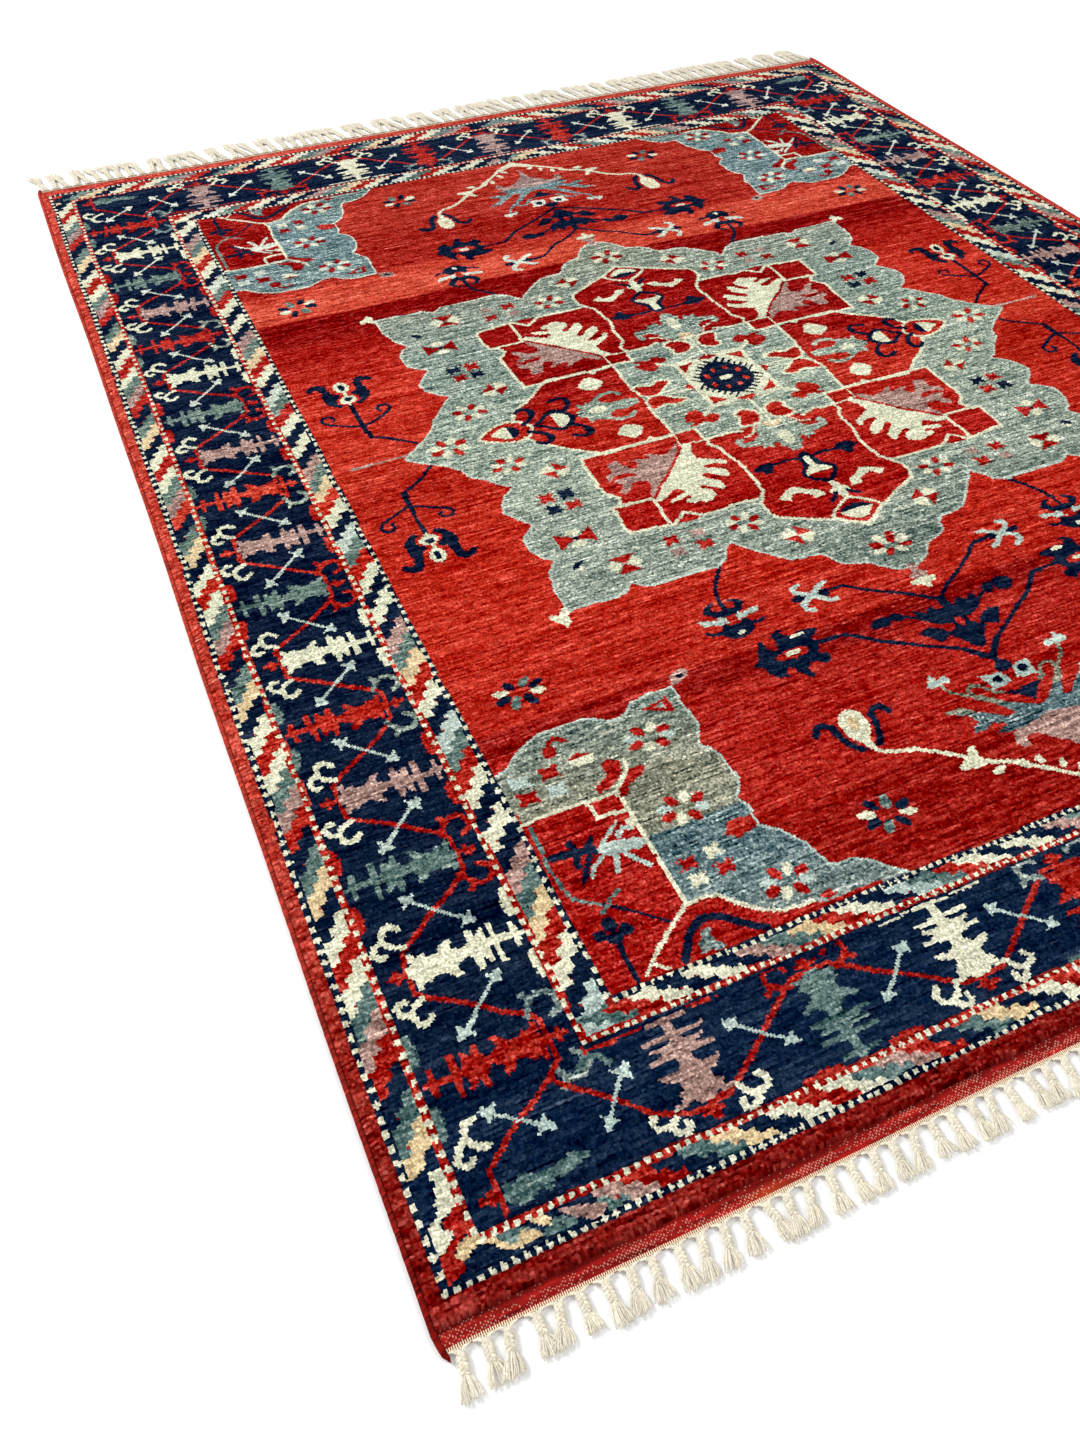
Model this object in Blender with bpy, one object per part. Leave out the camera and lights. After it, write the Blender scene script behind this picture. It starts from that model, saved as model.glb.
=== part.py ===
"""Hand-knotted area rug, lying flat.

A cotton ground weave carries the knotted wool pile, which changes pattern in frames from the
edge to the field. Overcast cords close the two sides, a flat-woven band closes each end, and
the warps run out of those bands as braided fringes. Lengths are in metres, +Z is up, X runs
across the rug and +Y along it to the end with the long fringe. The rug is centred on the
origin and lies on Z = 0.
"""

import math
from dataclasses import dataclass

import bmesh
import bpy

# Ground weave, between the side cords and the flat-woven ends
GROUND_WIDTH = 2.3968
GROUND_LENGTH = 2.964
GROUND_THICKNESS = 0.003

# Knotted pile standing on the ground weave
PILE_HEIGHT = 0.009

# Overcast cord along each side, which runs past the flat-woven ends
CORD_DIAMETER = 0.008
CORD_OVERHANG = 0.010
CORD_FACETS = 12
CORD_TIP_RINGS = 3

# Flat-woven band at each end
FLATWEAVE_DEPTH = 0.0247
FLATWEAVE_THICKNESS = 0.003

# Fringe: a header of gathered warps, then braided tassels with loose tails
SECTIONS_PER_END = 21
TASSELS_PER_SECTION = 4
HEADER_DEPTH = 0.005
FRINGE_THICKNESS = 0.005
BRAID_WIDTH = 0.009
TAIL_WIDTH = 0.013
TASSEL_LEAN = 0.004
LEAN_STEP = 1.7

# Fit between pieces that touch
SEAT_GAP = 0.0003


@dataclass(frozen=True)
class Band:
    """A frame of pile with one pattern, and its width at each edge of the rug."""

    name: str
    side: float
    near: float
    far: float
    colour: tuple[float, float, float]


@dataclass(frozen=True)
class Fringe:
    """The fringe of one end, and the direction in which it points."""

    name: str
    direction: int
    braid_length: float
    tail_length: float

    @property
    def reach(self) -> float:
        """Distance from the flat-woven end to the tips."""
        return SEAT_GAP + HEADER_DEPTH + self.braid_length + self.tail_length


@dataclass(frozen=True)
class Rect:
    """A rectangle seen from above."""

    x0: float
    y0: float
    x1: float
    y1: float

    def inset(self, side: float, near: float, far: float) -> "Rect":
        """Return the rectangle moved in by a width on each edge."""
        return Rect(self.x0 + side, self.y0 + near, self.x1 - side, self.y1 - far)

    def corners(self) -> list[tuple[float, float]]:
        """Return the four corners, anticlockwise."""
        return [(self.x0, self.y0), (self.x1, self.y0), (self.x1, self.y1), (self.x0, self.y1)]


RED = (0.42, 0.030, 0.022)
NAVY = (0.016, 0.030, 0.075)
IVORY = (0.70, 0.61, 0.44)
MADDER = (0.30, 0.022, 0.018)
COTTON = (0.62, 0.55, 0.42)
CREAM = (0.80, 0.74, 0.60)

# Frames of pile from the edge inwards; the field fills what they leave
BANDS = (
    Band("pile_edge_band", side=0.0166, near=0.023, far=0.030, colour=RED),
    Band("pile_outer_guard", side=0.059, near=0.046, far=0.058, colour=IVORY),
    Band("pile_main_border", side=0.202, near=0.155, far=0.182, colour=NAVY),
    Band("pile_inner_guard", side=0.063, near=0.046, far=0.055, colour=IVORY),
)
FRINGES = (
    Fringe("fringe_near", direction=-1, braid_length=0.026, tail_length=0.027),
    Fringe("fringe_far", direction=1, braid_length=0.058, tail_length=0.052),
)

# The fringes differ in reach, so the weave sits off the middle of the whole rug
NEAR_REACH, FAR_REACH = (fringe.reach for fringe in FRINGES)
WEAVE_CENTRE_Y = (NEAR_REACH - FAR_REACH) / 2
END_Y = GROUND_LENGTH / 2 + SEAT_GAP + FLATWEAVE_DEPTH


def clear_scene() -> None:
    """Remove every object from the scene."""
    for item in list(bpy.data.objects):
        bpy.data.objects.remove(item, do_unlink=True)


def woven_material(name: str, colour: tuple[float, float, float]) -> bpy.types.Material:
    """Return a matt textile material, made once for each name."""
    material = bpy.data.materials.get(name)
    if material is None:
        material = bpy.data.materials.new(name)
        material.use_nodes = True
        shader = material.node_tree.nodes["Principled BSDF"]
        shader.inputs["Base Color"].default_value = (*colour, 1.0)
        shader.inputs["Roughness"].default_value = 0.9
        shader.inputs["Metallic"].default_value = 0.0
        material.diffuse_color = (*colour, 1.0)
    return material


def place(name: str, shape: bmesh.types.BMesh, material: bpy.types.Material,
          location: tuple[float, float, float]) -> bpy.types.Object:
    """Turn a shape into a named object with its material, at its place on the rug.

    Args:
        name: The sub-part's name.
        shape: The shape, which is freed.
        material: The sub-part's material.
        location: Where the shape's own origin goes, from the middle of the weave.

    Returns:
        The new object.
    """
    bmesh.ops.recalc_face_normals(shape, faces=shape.faces)
    mesh = bpy.data.meshes.new(name)
    shape.to_mesh(mesh)
    shape.free()
    mesh.materials.append(material)
    piece = bpy.data.objects.new(name, mesh)
    x, y, z = location
    piece.location = (x, y + WEAVE_CENTRE_Y, z)
    bpy.context.collection.objects.link(piece)
    return piece


def prism(outline: list[tuple[float, float]], height: float) -> bmesh.types.BMesh:
    """Return an outline in the XY plane, raised to a height."""
    shape = bmesh.new()
    base = shape.faces.new([shape.verts.new((x, y, 0.0)) for x, y in outline])
    raised = bmesh.ops.extrude_face_region(shape, geom=[base])["geom"]
    tops = [item for item in raised if isinstance(item, bmesh.types.BMVert)]
    bmesh.ops.translate(shape, verts=tops, vec=(0.0, 0.0, height))
    return shape


def frame_prism(outer: Rect, inner: Rect, height: float) -> bmesh.types.BMesh:
    """Return the flat frame between two rectangles, raised to a height."""
    shape = bmesh.new()
    levels = []
    for z in (0.0, height):
        levels.append([[shape.verts.new((x, y, z)) for x, y in rect.corners()]
                       for rect in (outer, inner)])
    (low_out, low_in), (top_out, top_in) = levels
    for here in range(4):
        after = (here + 1) % 4
        for first, second in ((low_out, low_in), (top_out, top_in),
                              (low_out, top_out), (low_in, top_in)):
            shape.faces.new((first[here], first[after], second[after], second[here]))
    return shape


def make_ground_weave() -> None:
    """Make the cotton warps and wefts that hold the knots, as one cloth."""
    half_x, half_y = GROUND_WIDTH / 2, GROUND_LENGTH / 2
    cloth = prism(Rect(-half_x, -half_y, half_x, half_y).corners(), GROUND_THICKNESS)
    place("ground_weave", cloth, woven_material("ground_cotton", COTTON), (0.0, 0.0, 0.0))


def make_pile() -> None:
    """Make the frames of pile from the edge inwards, then the field."""
    base = GROUND_THICKNESS + SEAT_GAP
    half_x, half_y = GROUND_WIDTH / 2, GROUND_LENGTH / 2
    outer = Rect(-half_x, -half_y, half_x, half_y)
    for band in BANDS:
        inner = outer.inset(band.side, band.near, band.far)
        material = woven_material(band.name, band.colour)
        place(band.name, frame_prism(outer, inner, PILE_HEIGHT), material, (0.0, 0.0, base))
        outer = inner.inset(SEAT_GAP, SEAT_GAP, SEAT_GAP)
    field = prism(outer.corners(), PILE_HEIGHT)
    place("pile_field", field, woven_material("pile_field", RED), (0.0, 0.0, base))


def side_cord() -> bmesh.types.BMesh:
    """Return a round cord along Y with domed tips, resting on Z = 0."""
    radius = CORD_DIAMETER / 2
    straight = END_Y + CORD_OVERHANG - radius
    tip = [(radius * math.cos(math.pi / 2 * step / CORD_TIP_RINGS),
            straight + radius * math.sin(math.pi / 2 * step / CORD_TIP_RINGS))
           for step in range(CORD_TIP_RINGS)]
    profile = [(r, -y) for r, y in reversed(tip)] + tip
    shape = bmesh.new()
    rings = []
    for ring_radius, y in profile:
        turns = [2 * math.pi * step / CORD_FACETS for step in range(CORD_FACETS)]
        rings.append([shape.verts.new((ring_radius * math.cos(turn), y,
                                       radius + ring_radius * math.sin(turn)))
                      for turn in turns])
    for ring, following in zip(rings, rings[1:]):
        for here in range(CORD_FACETS):
            after = (here + 1) % CORD_FACETS
            shape.faces.new((ring[here], ring[after], following[after], following[here]))
    for ring, y in ((rings[0], -straight - radius), (rings[-1], straight + radius)):
        pole = shape.verts.new((0.0, y, radius))
        for here in range(CORD_FACETS):
            shape.faces.new((ring[here], ring[(here + 1) % CORD_FACETS], pole))
    return shape


def make_side_cords() -> None:
    """Make the overcast cord that closes each side."""
    offset = GROUND_WIDTH / 2 + SEAT_GAP + CORD_DIAMETER / 2
    for name, x in (("side_cord_left", -offset), ("side_cord_right", offset)):
        cord = place(name, side_cord(), woven_material("side_cord", MADDER), (x, 0.0, 0.0))
        cord.data.shade_smooth()


def make_flatweave_ends() -> None:
    """Make the flat-woven band that closes each end."""
    half_x = GROUND_WIDTH / 2
    outline = Rect(-half_x, 0.0, half_x, FLATWEAVE_DEPTH).corners()
    start = GROUND_LENGTH / 2 + SEAT_GAP
    for name, y in (("flatweave_end_near", -END_Y), ("flatweave_end_far", start)):
        band = prism(outline, FLATWEAVE_THICKNESS)
        place(name, band, woven_material("flatweave_end", RED), (0.0, y, 0.0))


def tassel(fringe: Fringe, root: float, lean: float) -> list[tuple[float, float]]:
    """Return one tassel's outline, from its left root round its tip to its right root.

    Args:
        fringe: The fringe that the tassel belongs to.
        root: The middle of the tassel at the header, along the header.
        lean: How far the tip stands to the side of the root.

    Returns:
        Points with the distance along the header and the distance out from the rug.
    """
    length = fringe.braid_length + fringe.tail_length
    knot = root + lean * fringe.braid_length / length
    knot_reach = HEADER_DEPTH + fringe.braid_length
    left = [(root - BRAID_WIDTH / 2, HEADER_DEPTH), (knot - BRAID_WIDTH / 2, knot_reach),
            (root + lean - TAIL_WIDTH / 2, HEADER_DEPTH + length)]
    right = [(root + lean + TAIL_WIDTH / 2, HEADER_DEPTH + length),
             (knot + BRAID_WIDTH / 2, knot_reach), (root + BRAID_WIDTH / 2, HEADER_DEPTH)]
    return left + right


def fringe_section(fringe: Fringe, index: int, width: float) -> bmesh.types.BMesh:
    """Return one run of the fringe: its header and its tassels.

    Args:
        fringe: The fringe that the section belongs to.
        index: The section's place along the end, which sets how its tassels lean.
        width: The section's width.

    Returns:
        The section, from the flat-woven end outwards.
    """
    pitch = width / TASSELS_PER_SECTION
    outline = [(0.0, 0.0), (0.0, HEADER_DEPTH)]
    for place_in_run in range(TASSELS_PER_SECTION):
        count = index * TASSELS_PER_SECTION + place_in_run
        lean = TASSEL_LEAN * math.sin(LEAN_STEP * count)
        outline += tassel(fringe, pitch * (place_in_run + 0.5), lean)
    outline += [(width, HEADER_DEPTH), (width, 0.0)]
    return prism([(x, y * fringe.direction) for x, y in outline], FRINGE_THICKNESS)


def make_fringes() -> None:
    """Make the fringe sections side by side along both ends."""
    gaps = (SECTIONS_PER_END - 1) * SEAT_GAP
    width = (GROUND_WIDTH - gaps) / SECTIONS_PER_END
    for fringe in FRINGES:
        y = fringe.direction * (END_Y + SEAT_GAP)
        for index in range(SECTIONS_PER_END):
            x = -GROUND_WIDTH / 2 + index * (width + SEAT_GAP)
            section = fringe_section(fringe, index, width)
            place(f"{fringe.name}_{index + 1:02d}", section,
                  woven_material("fringe_cotton", CREAM), (x, y, 0.0))


def main() -> None:
    """Build the rug."""
    clear_scene()
    make_ground_weave()
    make_pile()
    make_side_cords()
    make_flatweave_ends()
    make_fringes()


main()
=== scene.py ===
"""Area rug: a hand-knotted wool rug with flat-woven ends, overcast sides and a braided cotton fringe.

Every knot of the pile is one cell of a knot chart. The chart is drawn in millimetres from the
middle of the weave, dyed row by row, and then knotted into the pile pieces.
"""

import logging
import math
from dataclasses import dataclass, field
from enum import IntEnum
from typing import Iterable, Sequence

import bpy
import numpy as np
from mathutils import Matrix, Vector


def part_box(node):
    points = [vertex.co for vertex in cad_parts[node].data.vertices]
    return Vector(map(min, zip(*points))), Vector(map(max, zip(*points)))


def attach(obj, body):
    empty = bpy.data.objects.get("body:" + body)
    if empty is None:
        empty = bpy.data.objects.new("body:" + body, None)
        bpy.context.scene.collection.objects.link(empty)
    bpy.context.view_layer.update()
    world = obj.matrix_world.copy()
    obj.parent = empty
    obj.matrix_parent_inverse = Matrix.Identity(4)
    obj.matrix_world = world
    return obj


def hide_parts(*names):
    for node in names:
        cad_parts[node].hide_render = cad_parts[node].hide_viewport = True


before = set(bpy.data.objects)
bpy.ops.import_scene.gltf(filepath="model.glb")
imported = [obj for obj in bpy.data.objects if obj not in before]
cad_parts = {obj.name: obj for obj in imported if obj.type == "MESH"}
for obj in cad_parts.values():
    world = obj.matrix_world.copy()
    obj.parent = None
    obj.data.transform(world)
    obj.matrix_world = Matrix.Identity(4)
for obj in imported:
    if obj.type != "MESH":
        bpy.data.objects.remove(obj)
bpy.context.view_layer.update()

log = logging.getLogger("rug")

MM = 0.001
BODY = "root"
AXIS = 4.0  # how far east of the rug's middle the design's own axis lies, in millimetres
SECTIONS = 21  # sections of fringe at either end
COLOUR_LAYER = "yarn_colour"
MAP_LAYER = "OFBake"

Point = tuple[float, float]
Outline = str | Sequence[Point]


def trace(outline: Outline) -> Sequence[Point]:
    """Reads an outline written as "u,v u,v", in millimetres, or gives its points as they are."""
    if not isinstance(outline, str):
        return outline
    return tuple(tuple(float(n) for n in point.split(",")) for point in outline.split())


# Yarns and dyes


class Yarn(IntEnum):
    """The yarns that the rug is knotted and woven from."""

    FIELD = 0
    NAVY = 1
    IVORY = 2
    CELADON = 3
    MAUVE = 4
    TAN = 5
    GREEN = 6
    SKY = 7
    MADDER = 8
    EDGE = 9
    PANEL = 10


def linear(colour: np.ndarray) -> np.ndarray:
    """Turns display colours from 0 to 255 into linear light from 0 to 1."""
    share = np.clip(np.asarray(colour, dtype=float) / 255.0, 0.0, 1.0)
    return np.where(share <= 0.04045, share / 12.92, ((share + 0.055) / 1.055) ** 2.4)


@dataclass(frozen=True)
class Dye:
    """How one yarn takes its colour along the weave.

    Args:
        stops: pairs of a place along the weave in millimetres and the display colour there.
        mottle: how many display steps one knot differs from the next.
        streak: how many steps short runs along a row differ.
    """

    stops: tuple[tuple[float, tuple[int, int, int]], ...]
    mottle: float = 14.0
    streak: float = 24.0

    def along(self, places: np.ndarray) -> np.ndarray:
        """Gives the dyed colour at each place along the weave.

        Args:
            places: millimetres from the middle of the weave.

        Returns:
            One display colour for each place.
        """
        where = [stop[0] for stop in self.stops]
        shades = np.array([stop[1] for stop in self.stops], dtype=float)
        return np.stack([np.interp(places, where, shades[:, k]) for k in range(3)], axis=-1)


DYES: dict[Yarn, Dye] = {
    Yarn.FIELD: Dye((
        (-1211, (150, 22, 16)), (-1062, (148, 20, 14)), (-1058, (162, 28, 20)), (-1000, (168, 30, 22)),
        (-800, (168, 32, 24)), (-785, (136, 14, 10)), (-745, (142, 16, 12)), (-735, (178, 38, 26)),
        (-520, (188, 42, 28)), (-350, (186, 42, 28)), (-200, (178, 38, 24)), (-100, (172, 34, 22)),
        (-60, (190, 50, 34)), (20, (190, 50, 34)), (110, (188, 46, 32)), (260, (188, 46, 32)),
        (440, (158, 22, 16)), (480, (146, 16, 12)), (486, (128, 4, 4)), (570, (132, 6, 6)),
        (580, (194, 64, 46)), (640, (204, 78, 58)), (700, (192, 60, 44)), (712, (164, 36, 28)),
        (850, (160, 34, 26)), (1000, (172, 48, 36)), (1156, (166, 42, 32)),
    )),
    Yarn.PANEL: Dye((
        (-1211, (162, 24, 18)), (-350, (166, 24, 18)), (-60, (182, 42, 28)), (100, (148, 14, 12)),
        (1156, (140, 12, 10)),
    ), mottle=18.0, streak=24.0),
    Yarn.NAVY: Dye((
        (-1482, (12, 28, 52)), (-1330, (13, 33, 60)), (-1180, (12, 28, 52)), (0, (10, 24, 48)),
        (1482, (16, 30, 54)),
    ), mottle=9.0, streak=12.0),
    Yarn.IVORY: Dye((
        (-1482, (226, 224, 198)), (-1100, (228, 226, 196)), (0, (220, 222, 192)), (1482, (220, 218, 192)),
    ), mottle=11.0, streak=14.0),
    Yarn.CELADON: Dye((
        (-1211, (130, 144, 138)), (-1085, (90, 114, 118)), (-1010, (88, 112, 116)),
        (-1003, (134, 136, 118)), (-900, (138, 139, 120)), (-780, (126, 140, 130)), (-560, (130, 144, 132)),
        (-450, (150, 162, 148)), (-100, (150, 164, 148)), (60, (142, 158, 144)), (300, (136, 152, 142)),
        (560, (142, 150, 134)), (640, (142, 150, 134)), (700, (116, 138, 138)), (1000, (108, 134, 138)),
        (1156, (120, 140, 136)),
    ), mottle=28.0, streak=34.0),
    Yarn.MAUVE: Dye((
        (-1482, (168, 134, 124)), (0, (170, 138, 128)), (1482, (160, 134, 130)),
    ), mottle=22.0, streak=26.0),
    Yarn.TAN: Dye(((-1482, (222, 196, 150)), (1482, (216, 194, 156))), mottle=12.0, streak=16.0),
    Yarn.GREEN: Dye((
        (-1482, (88, 114, 112)), (0, (106, 126, 116)), (1482, (100, 122, 118)),
    ), mottle=20.0, streak=26.0),
    Yarn.SKY: Dye((
        (-1482, (178, 198, 190)), (0, (194, 206, 192)), (1482, (216, 220, 204)),
    ), mottle=12.0, streak=16.0),
    Yarn.MADDER: Dye((
        (-1482, (158, 28, 20)), (-300, (178, 36, 24)), (40, (192, 56, 38)), (90, (166, 30, 24)),
        (1482, (166, 36, 30)),
    ), mottle=20.0, streak=24.0),
    Yarn.EDGE: Dye((
        (-1482, (128, 22, 18)), (-1380, (134, 28, 22)), (-1200, (146, 38, 30)), (-900, (176, 56, 44)),
        (-600, (188, 64, 50)), (0, (188, 64, 50)), (1482, (188, 66, 54)),
    ), mottle=18.0, streak=22.0),
}


# The rug's plan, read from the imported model

PILE_NODES = (
    "pile_edge_band",
    "pile_outer_guard",
    "pile_main_border",
    "pile_inner_guard",
    "pile_field",
)


@dataclass(frozen=True)
class Limits:
    """The sides of one oblong of the weave, in millimetres from its middle."""

    west: float
    east: float
    near: float
    far: float


class RugPlan:
    """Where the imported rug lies, and how its places are given.

    Lengths on the plan are millimetres from the middle of the weave, +x east and +y to the far end.
    """

    WARP_PITCH = 3.434
    WEFT_PITCH = 3.150

    def __init__(self) -> None:
        """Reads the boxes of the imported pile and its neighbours."""
        low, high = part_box("ground_weave")
        self.middle = (low + high) / 2
        self.ground_top = high.z
        pile_low, pile_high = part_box("pile_edge_band")
        self.pile_top = pile_high.z
        self.pile_foot = pile_low.z
        self.bands = [self.limits(node) for node in PILE_NODES]

    def limits(self, node: str) -> Limits:
        """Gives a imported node's sides on the plan.

        Args:
            node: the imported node's name.

        Returns:
            Its four sides, in millimetres from the middle of the weave.
        """
        low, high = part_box(node)
        return Limits(
            (low.x - self.middle.x) / MM,
            (high.x - self.middle.x) / MM,
            (low.y - self.middle.y) / MM,
            (high.y - self.middle.y) / MM,
        )

    def lines(self, stops: Iterable[float], pitch: float) -> np.ndarray:
        """Divides an axis into knots so that every band begins on a knot's edge.

        Args:
            stops: the places that must fall between two knots.
            pitch: the knot's size along this axis.

        Returns:
            The edges of the knots, in order.
        """
        places = sorted(stops)
        parts = [
            np.linspace(a, b, max(1, round((b - a) / pitch)), endpoint=False)
            for a, b in zip(places, places[1:])
        ]
        return np.concatenate([*parts, [places[-1]]])

    def warp_lines(self) -> np.ndarray:
        """Gives the edges of the knots across the rug."""
        return self.lines([s for band in self.bands for s in (band.west, band.east)], self.WARP_PITCH)

    def weft_lines(self) -> np.ndarray:
        """Gives the edges of the knots along the rug."""
        return self.lines([s for band in self.bands for s in (band.near, band.far)], self.WEFT_PITCH)

    def lay(self, points: np.ndarray) -> np.ndarray:
        """Lays points of the plan down as the woven rug really lies, in metres.

        A hand-woven rug is never quite square: its sides wander by a few millimetres.

        Args:
            points: rows of x, y and z in millimetres, x and y from the middle of the weave.

        Returns:
            The same rows in metres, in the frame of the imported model.
        """
        x, y, z = points[:, 0], points[:, 1], points[:, 2]
        wander_x = 1.6 * np.sin(y / 310.0 + 0.6) + 0.9 * np.sin(y / 118.0 + 2.0) - 1.1 * np.sin(y / 720.0)
        wander_y = 1.7 * np.sin(x / 420.0 + 1.1) + 0.8 * np.sin(x / 96.0)
        laid = np.stack([x + wander_x, y + wander_y, z], axis=1) * MM
        laid[:, 0] += self.middle.x
        laid[:, 1] += self.middle.y
        return laid


# The knot chart and the pen that draws on it


def drift(rng: np.random.Generator, rows: int, cols: int, row_step: float, col_step: float) -> np.ndarray:
    """Makes a smooth random field.

    Args:
        rng: the source of random numbers.
        rows: how many rows to make.
        cols: how many columns to make.
        row_step: rows between one independent value and the next.
        col_step: columns between one independent value and the next.

    Returns:
        Values of about -2 to 2, smooth over the steps.
    """
    coarse = rng.standard_normal((int(rows / row_step) + 3, int(cols / col_step) + 3))
    down = np.arange(rows) / row_step
    over = np.arange(cols) / col_step
    i, j = down.astype(int), over.astype(int)
    fi, fj = (down - i)[:, None], (over - j)[None, :]
    fi, fj = fi * fi * (3 - 2 * fi), fj * fj * (3 - 2 * fj)
    upper = coarse[i][:, j] * (1 - fj) + coarse[i][:, j + 1] * fj
    lower = coarse[i + 1][:, j] * (1 - fj) + coarse[i + 1][:, j + 1] * fj
    return upper * (1 - fi) + lower * fi


class KnotChart:
    """The weaver's chart: one yarn for each knot of the pile."""

    WOBBLE = 1.7
    NEAR_STRETCH = (
        (0, 0), (505, 505), (580, 600), (640, 649), (744, 750), (856, 866), (872, 903), (905, 934),
        (932, 960), (1000, 1026), (1070, 1096), (1174, 1193), (1300, 1319),
    )
    NEAR_LEAN = ((0, 0), (450, 0), (640, 8), (744, 16), (860, 20), (930, 24), (1080, 12), (1300, 8))

    def __init__(self, warp_lines: np.ndarray, weft_lines: np.ndarray) -> None:
        """Starts a chart that is all field yarn.

        Args:
            warp_lines: edges of the knots across the rug, in millimetres.
            weft_lines: edges of the knots along the rug, in millimetres.
        """
        self.warp_lines = warp_lines
        self.weft_lines = weft_lines
        self.xs = (warp_lines[1:] + warp_lines[:-1]) / 2
        self.ys = (weft_lines[1:] + weft_lines[:-1]) / 2
        shape = (len(self.ys), len(self.xs))
        self.yarn = np.full(shape, int(Yarn.FIELD), dtype=np.uint8)
        rng = np.random.default_rng(17)
        self.x_at = self.xs[None, :] + self.WOBBLE * drift(rng, *shape, 14, 12)
        self.y_at = self.ys[:, None] + self.WOBBLE * drift(rng, *shape, 12, 14)
        self.open = np.ones(shape, dtype=bool)
        self.slack = 3 * self.WOBBLE

    def stretch_near_end(self, centre: Point) -> None:
        """Lets what is drawn from here on drift at the near end, as the weaver's own work did.

        Args:
            centre: the middle of the design.
        """
        reach = centre[1] - self.y_at
        drawn, woven = zip(*self.NEAR_STRETCH)
        leaning, lean = zip(*self.NEAR_LEAN)
        true = np.where(reach > 0, np.interp(reach, woven, drawn), reach)
        self.x_at = self.x_at + np.where(reach > 0, np.interp(true, leaning, lean), 0.0)
        self.y_at = centre[1] - true
        self.slack = 45.0

    def inside(self, limits: Limits) -> np.ndarray:
        """Marks the knots inside an oblong."""
        across = (self.xs > limits.west) & (self.xs < limits.east)
        along = (self.ys > limits.near) & (self.ys < limits.far)
        return along[:, None] & across[None, :]

    def window(self, points: np.ndarray, margin: float) -> tuple[slice, slice]:
        """Finds the rows and columns that a shape may touch.

        Args:
            points: the shape's points.
            margin: how far past them to look.

        Returns:
            The slice of rows and the slice of columns.
        """
        low, high = points.min(axis=0) - margin, points.max(axis=0) + margin
        rows = slice(*np.searchsorted(self.ys, (low[1], high[1])))
        cols = slice(*np.searchsorted(self.xs, (low[0], high[0])))
        return rows, cols

    def knot(self, rows: slice, cols: slice, mask: np.ndarray, yarn: Yarn) -> None:
        """Ties the marked knots in a yarn, where the chart is open."""
        part = self.yarn[rows, cols]
        part[mask & self.open[rows, cols]] = int(yarn)

    def fill(self, points: np.ndarray, yarn: Yarn) -> None:
        """Fills a closed outline with a yarn.

        Args:
            points: the outline's points, in order.
            yarn: the yarn to tie.
        """
        rows, cols = self.window(points, self.slack)
        x, y = self.x_at[rows, cols], self.y_at[rows, cols]
        mask = np.zeros(x.shape, dtype=bool)
        for (x0, y0), (x1, y1) in zip(points, np.roll(points, -1, axis=0)):
            if y0 == y1:
                continue
            crosses = (y0 > y) != (y1 > y)
            mask ^= crosses & (x < (x1 - x0) * (y - y0) / (y1 - y0) + x0)
        self.knot(rows, cols, mask, yarn)

    def stroke(self, points: np.ndarray, width: float, yarn: Yarn) -> None:
        """Draws a line of even width.

        Args:
            points: the line's points, in order.
            width: the line's width, in millimetres.
            yarn: the yarn to tie.
        """
        for start, end in zip(points, points[1:]):
            rows, cols = self.window(np.stack([start, end]), width / 2 + self.slack)
            x, y = self.x_at[rows, cols], self.y_at[rows, cols]
            run = end - start
            length = float(run @ run) or 1.0
            share = np.clip(((x - start[0]) * run[0] + (y - start[1]) * run[1]) / length, 0, 1)
            gap = np.hypot(x - start[0] - share * run[0], y - start[1] - share * run[1])
            self.knot(rows, cols, gap <= width / 2, yarn)


@dataclass(frozen=True)
class Pen:
    """Draws a motif on the chart from the motif's own axes.

    Args:
        chart: the chart to draw on.
        origin: where the motif's origin lies on the chart.
        across: the chart's step for one millimetre along the motif's first axis.
        along: the chart's step for one millimetre along its second axis.
    """

    chart: KnotChart
    origin: Point = (0.0, 0.0)
    across: Point = (1.0, 0.0)
    along: Point = (0.0, 1.0)

    def place(self, points: Outline) -> np.ndarray:
        """Turns the motif's points into the chart's."""
        own = np.asarray(trace(points), dtype=float)
        axes = np.array([self.across, self.along])
        return np.asarray(self.origin) + own @ axes

    def fill(self, points: Outline, yarn: Yarn) -> None:
        """Fills an outline."""
        self.chart.fill(self.place(points), yarn)

    def both(self, half: Outline, yarn: Yarn) -> None:
        """Fills a shape from one half of its outline, mirrored over the second axis."""
        own = trace(half)
        self.fill([*own, *[(-u, v) for u, v in reversed(own)]], yarn)

    def line(self, points: Outline, width: float, yarn: Yarn) -> None:
        """Draws a line."""
        self.chart.stroke(self.place(points), width, yarn)

    def oval(self, centre: Point, size: Point, yarn: Yarn, turn: float = 0.0) -> None:
        """Fills an oval.

        Args:
            centre: its centre.
            size: its two half-widths.
            yarn: the yarn to tie.
            turn: how far its first half-width is turned, in degrees.
        """
        c, s = math.cos(math.radians(turn)), math.sin(math.radians(turn))
        rim = [2 * math.pi * k / 16 for k in range(16)]
        pairs = [(size[0] * math.cos(a), size[1] * math.sin(a)) for a in rim]
        self.fill([(centre[0] + p * c - q * s, centre[1] + p * s + q * c) for p, q in pairs], yarn)

    def at(self, place: Point, turn: float = 0.0, mirror: bool = False) -> "Pen":
        """Gives a pen for a motif that lies elsewhere.

        Args:
            place: the motif's origin on this pen's axes.
            turn: how far the motif is turned, in degrees.
            mirror: whether its first axis is mirrored.

        Returns:
            The new pen.
        """
        c, s = math.cos(math.radians(turn)), math.sin(math.radians(turn))
        first, second = np.asarray(self.across), np.asarray(self.along)
        across = (c * first + s * second) * (-1 if mirror else 1)
        along = c * second - s * first
        return Pen(self.chart, tuple(self.place([place])[0]), tuple(across), tuple(along))


# Small motifs that several parts of the design share


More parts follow.
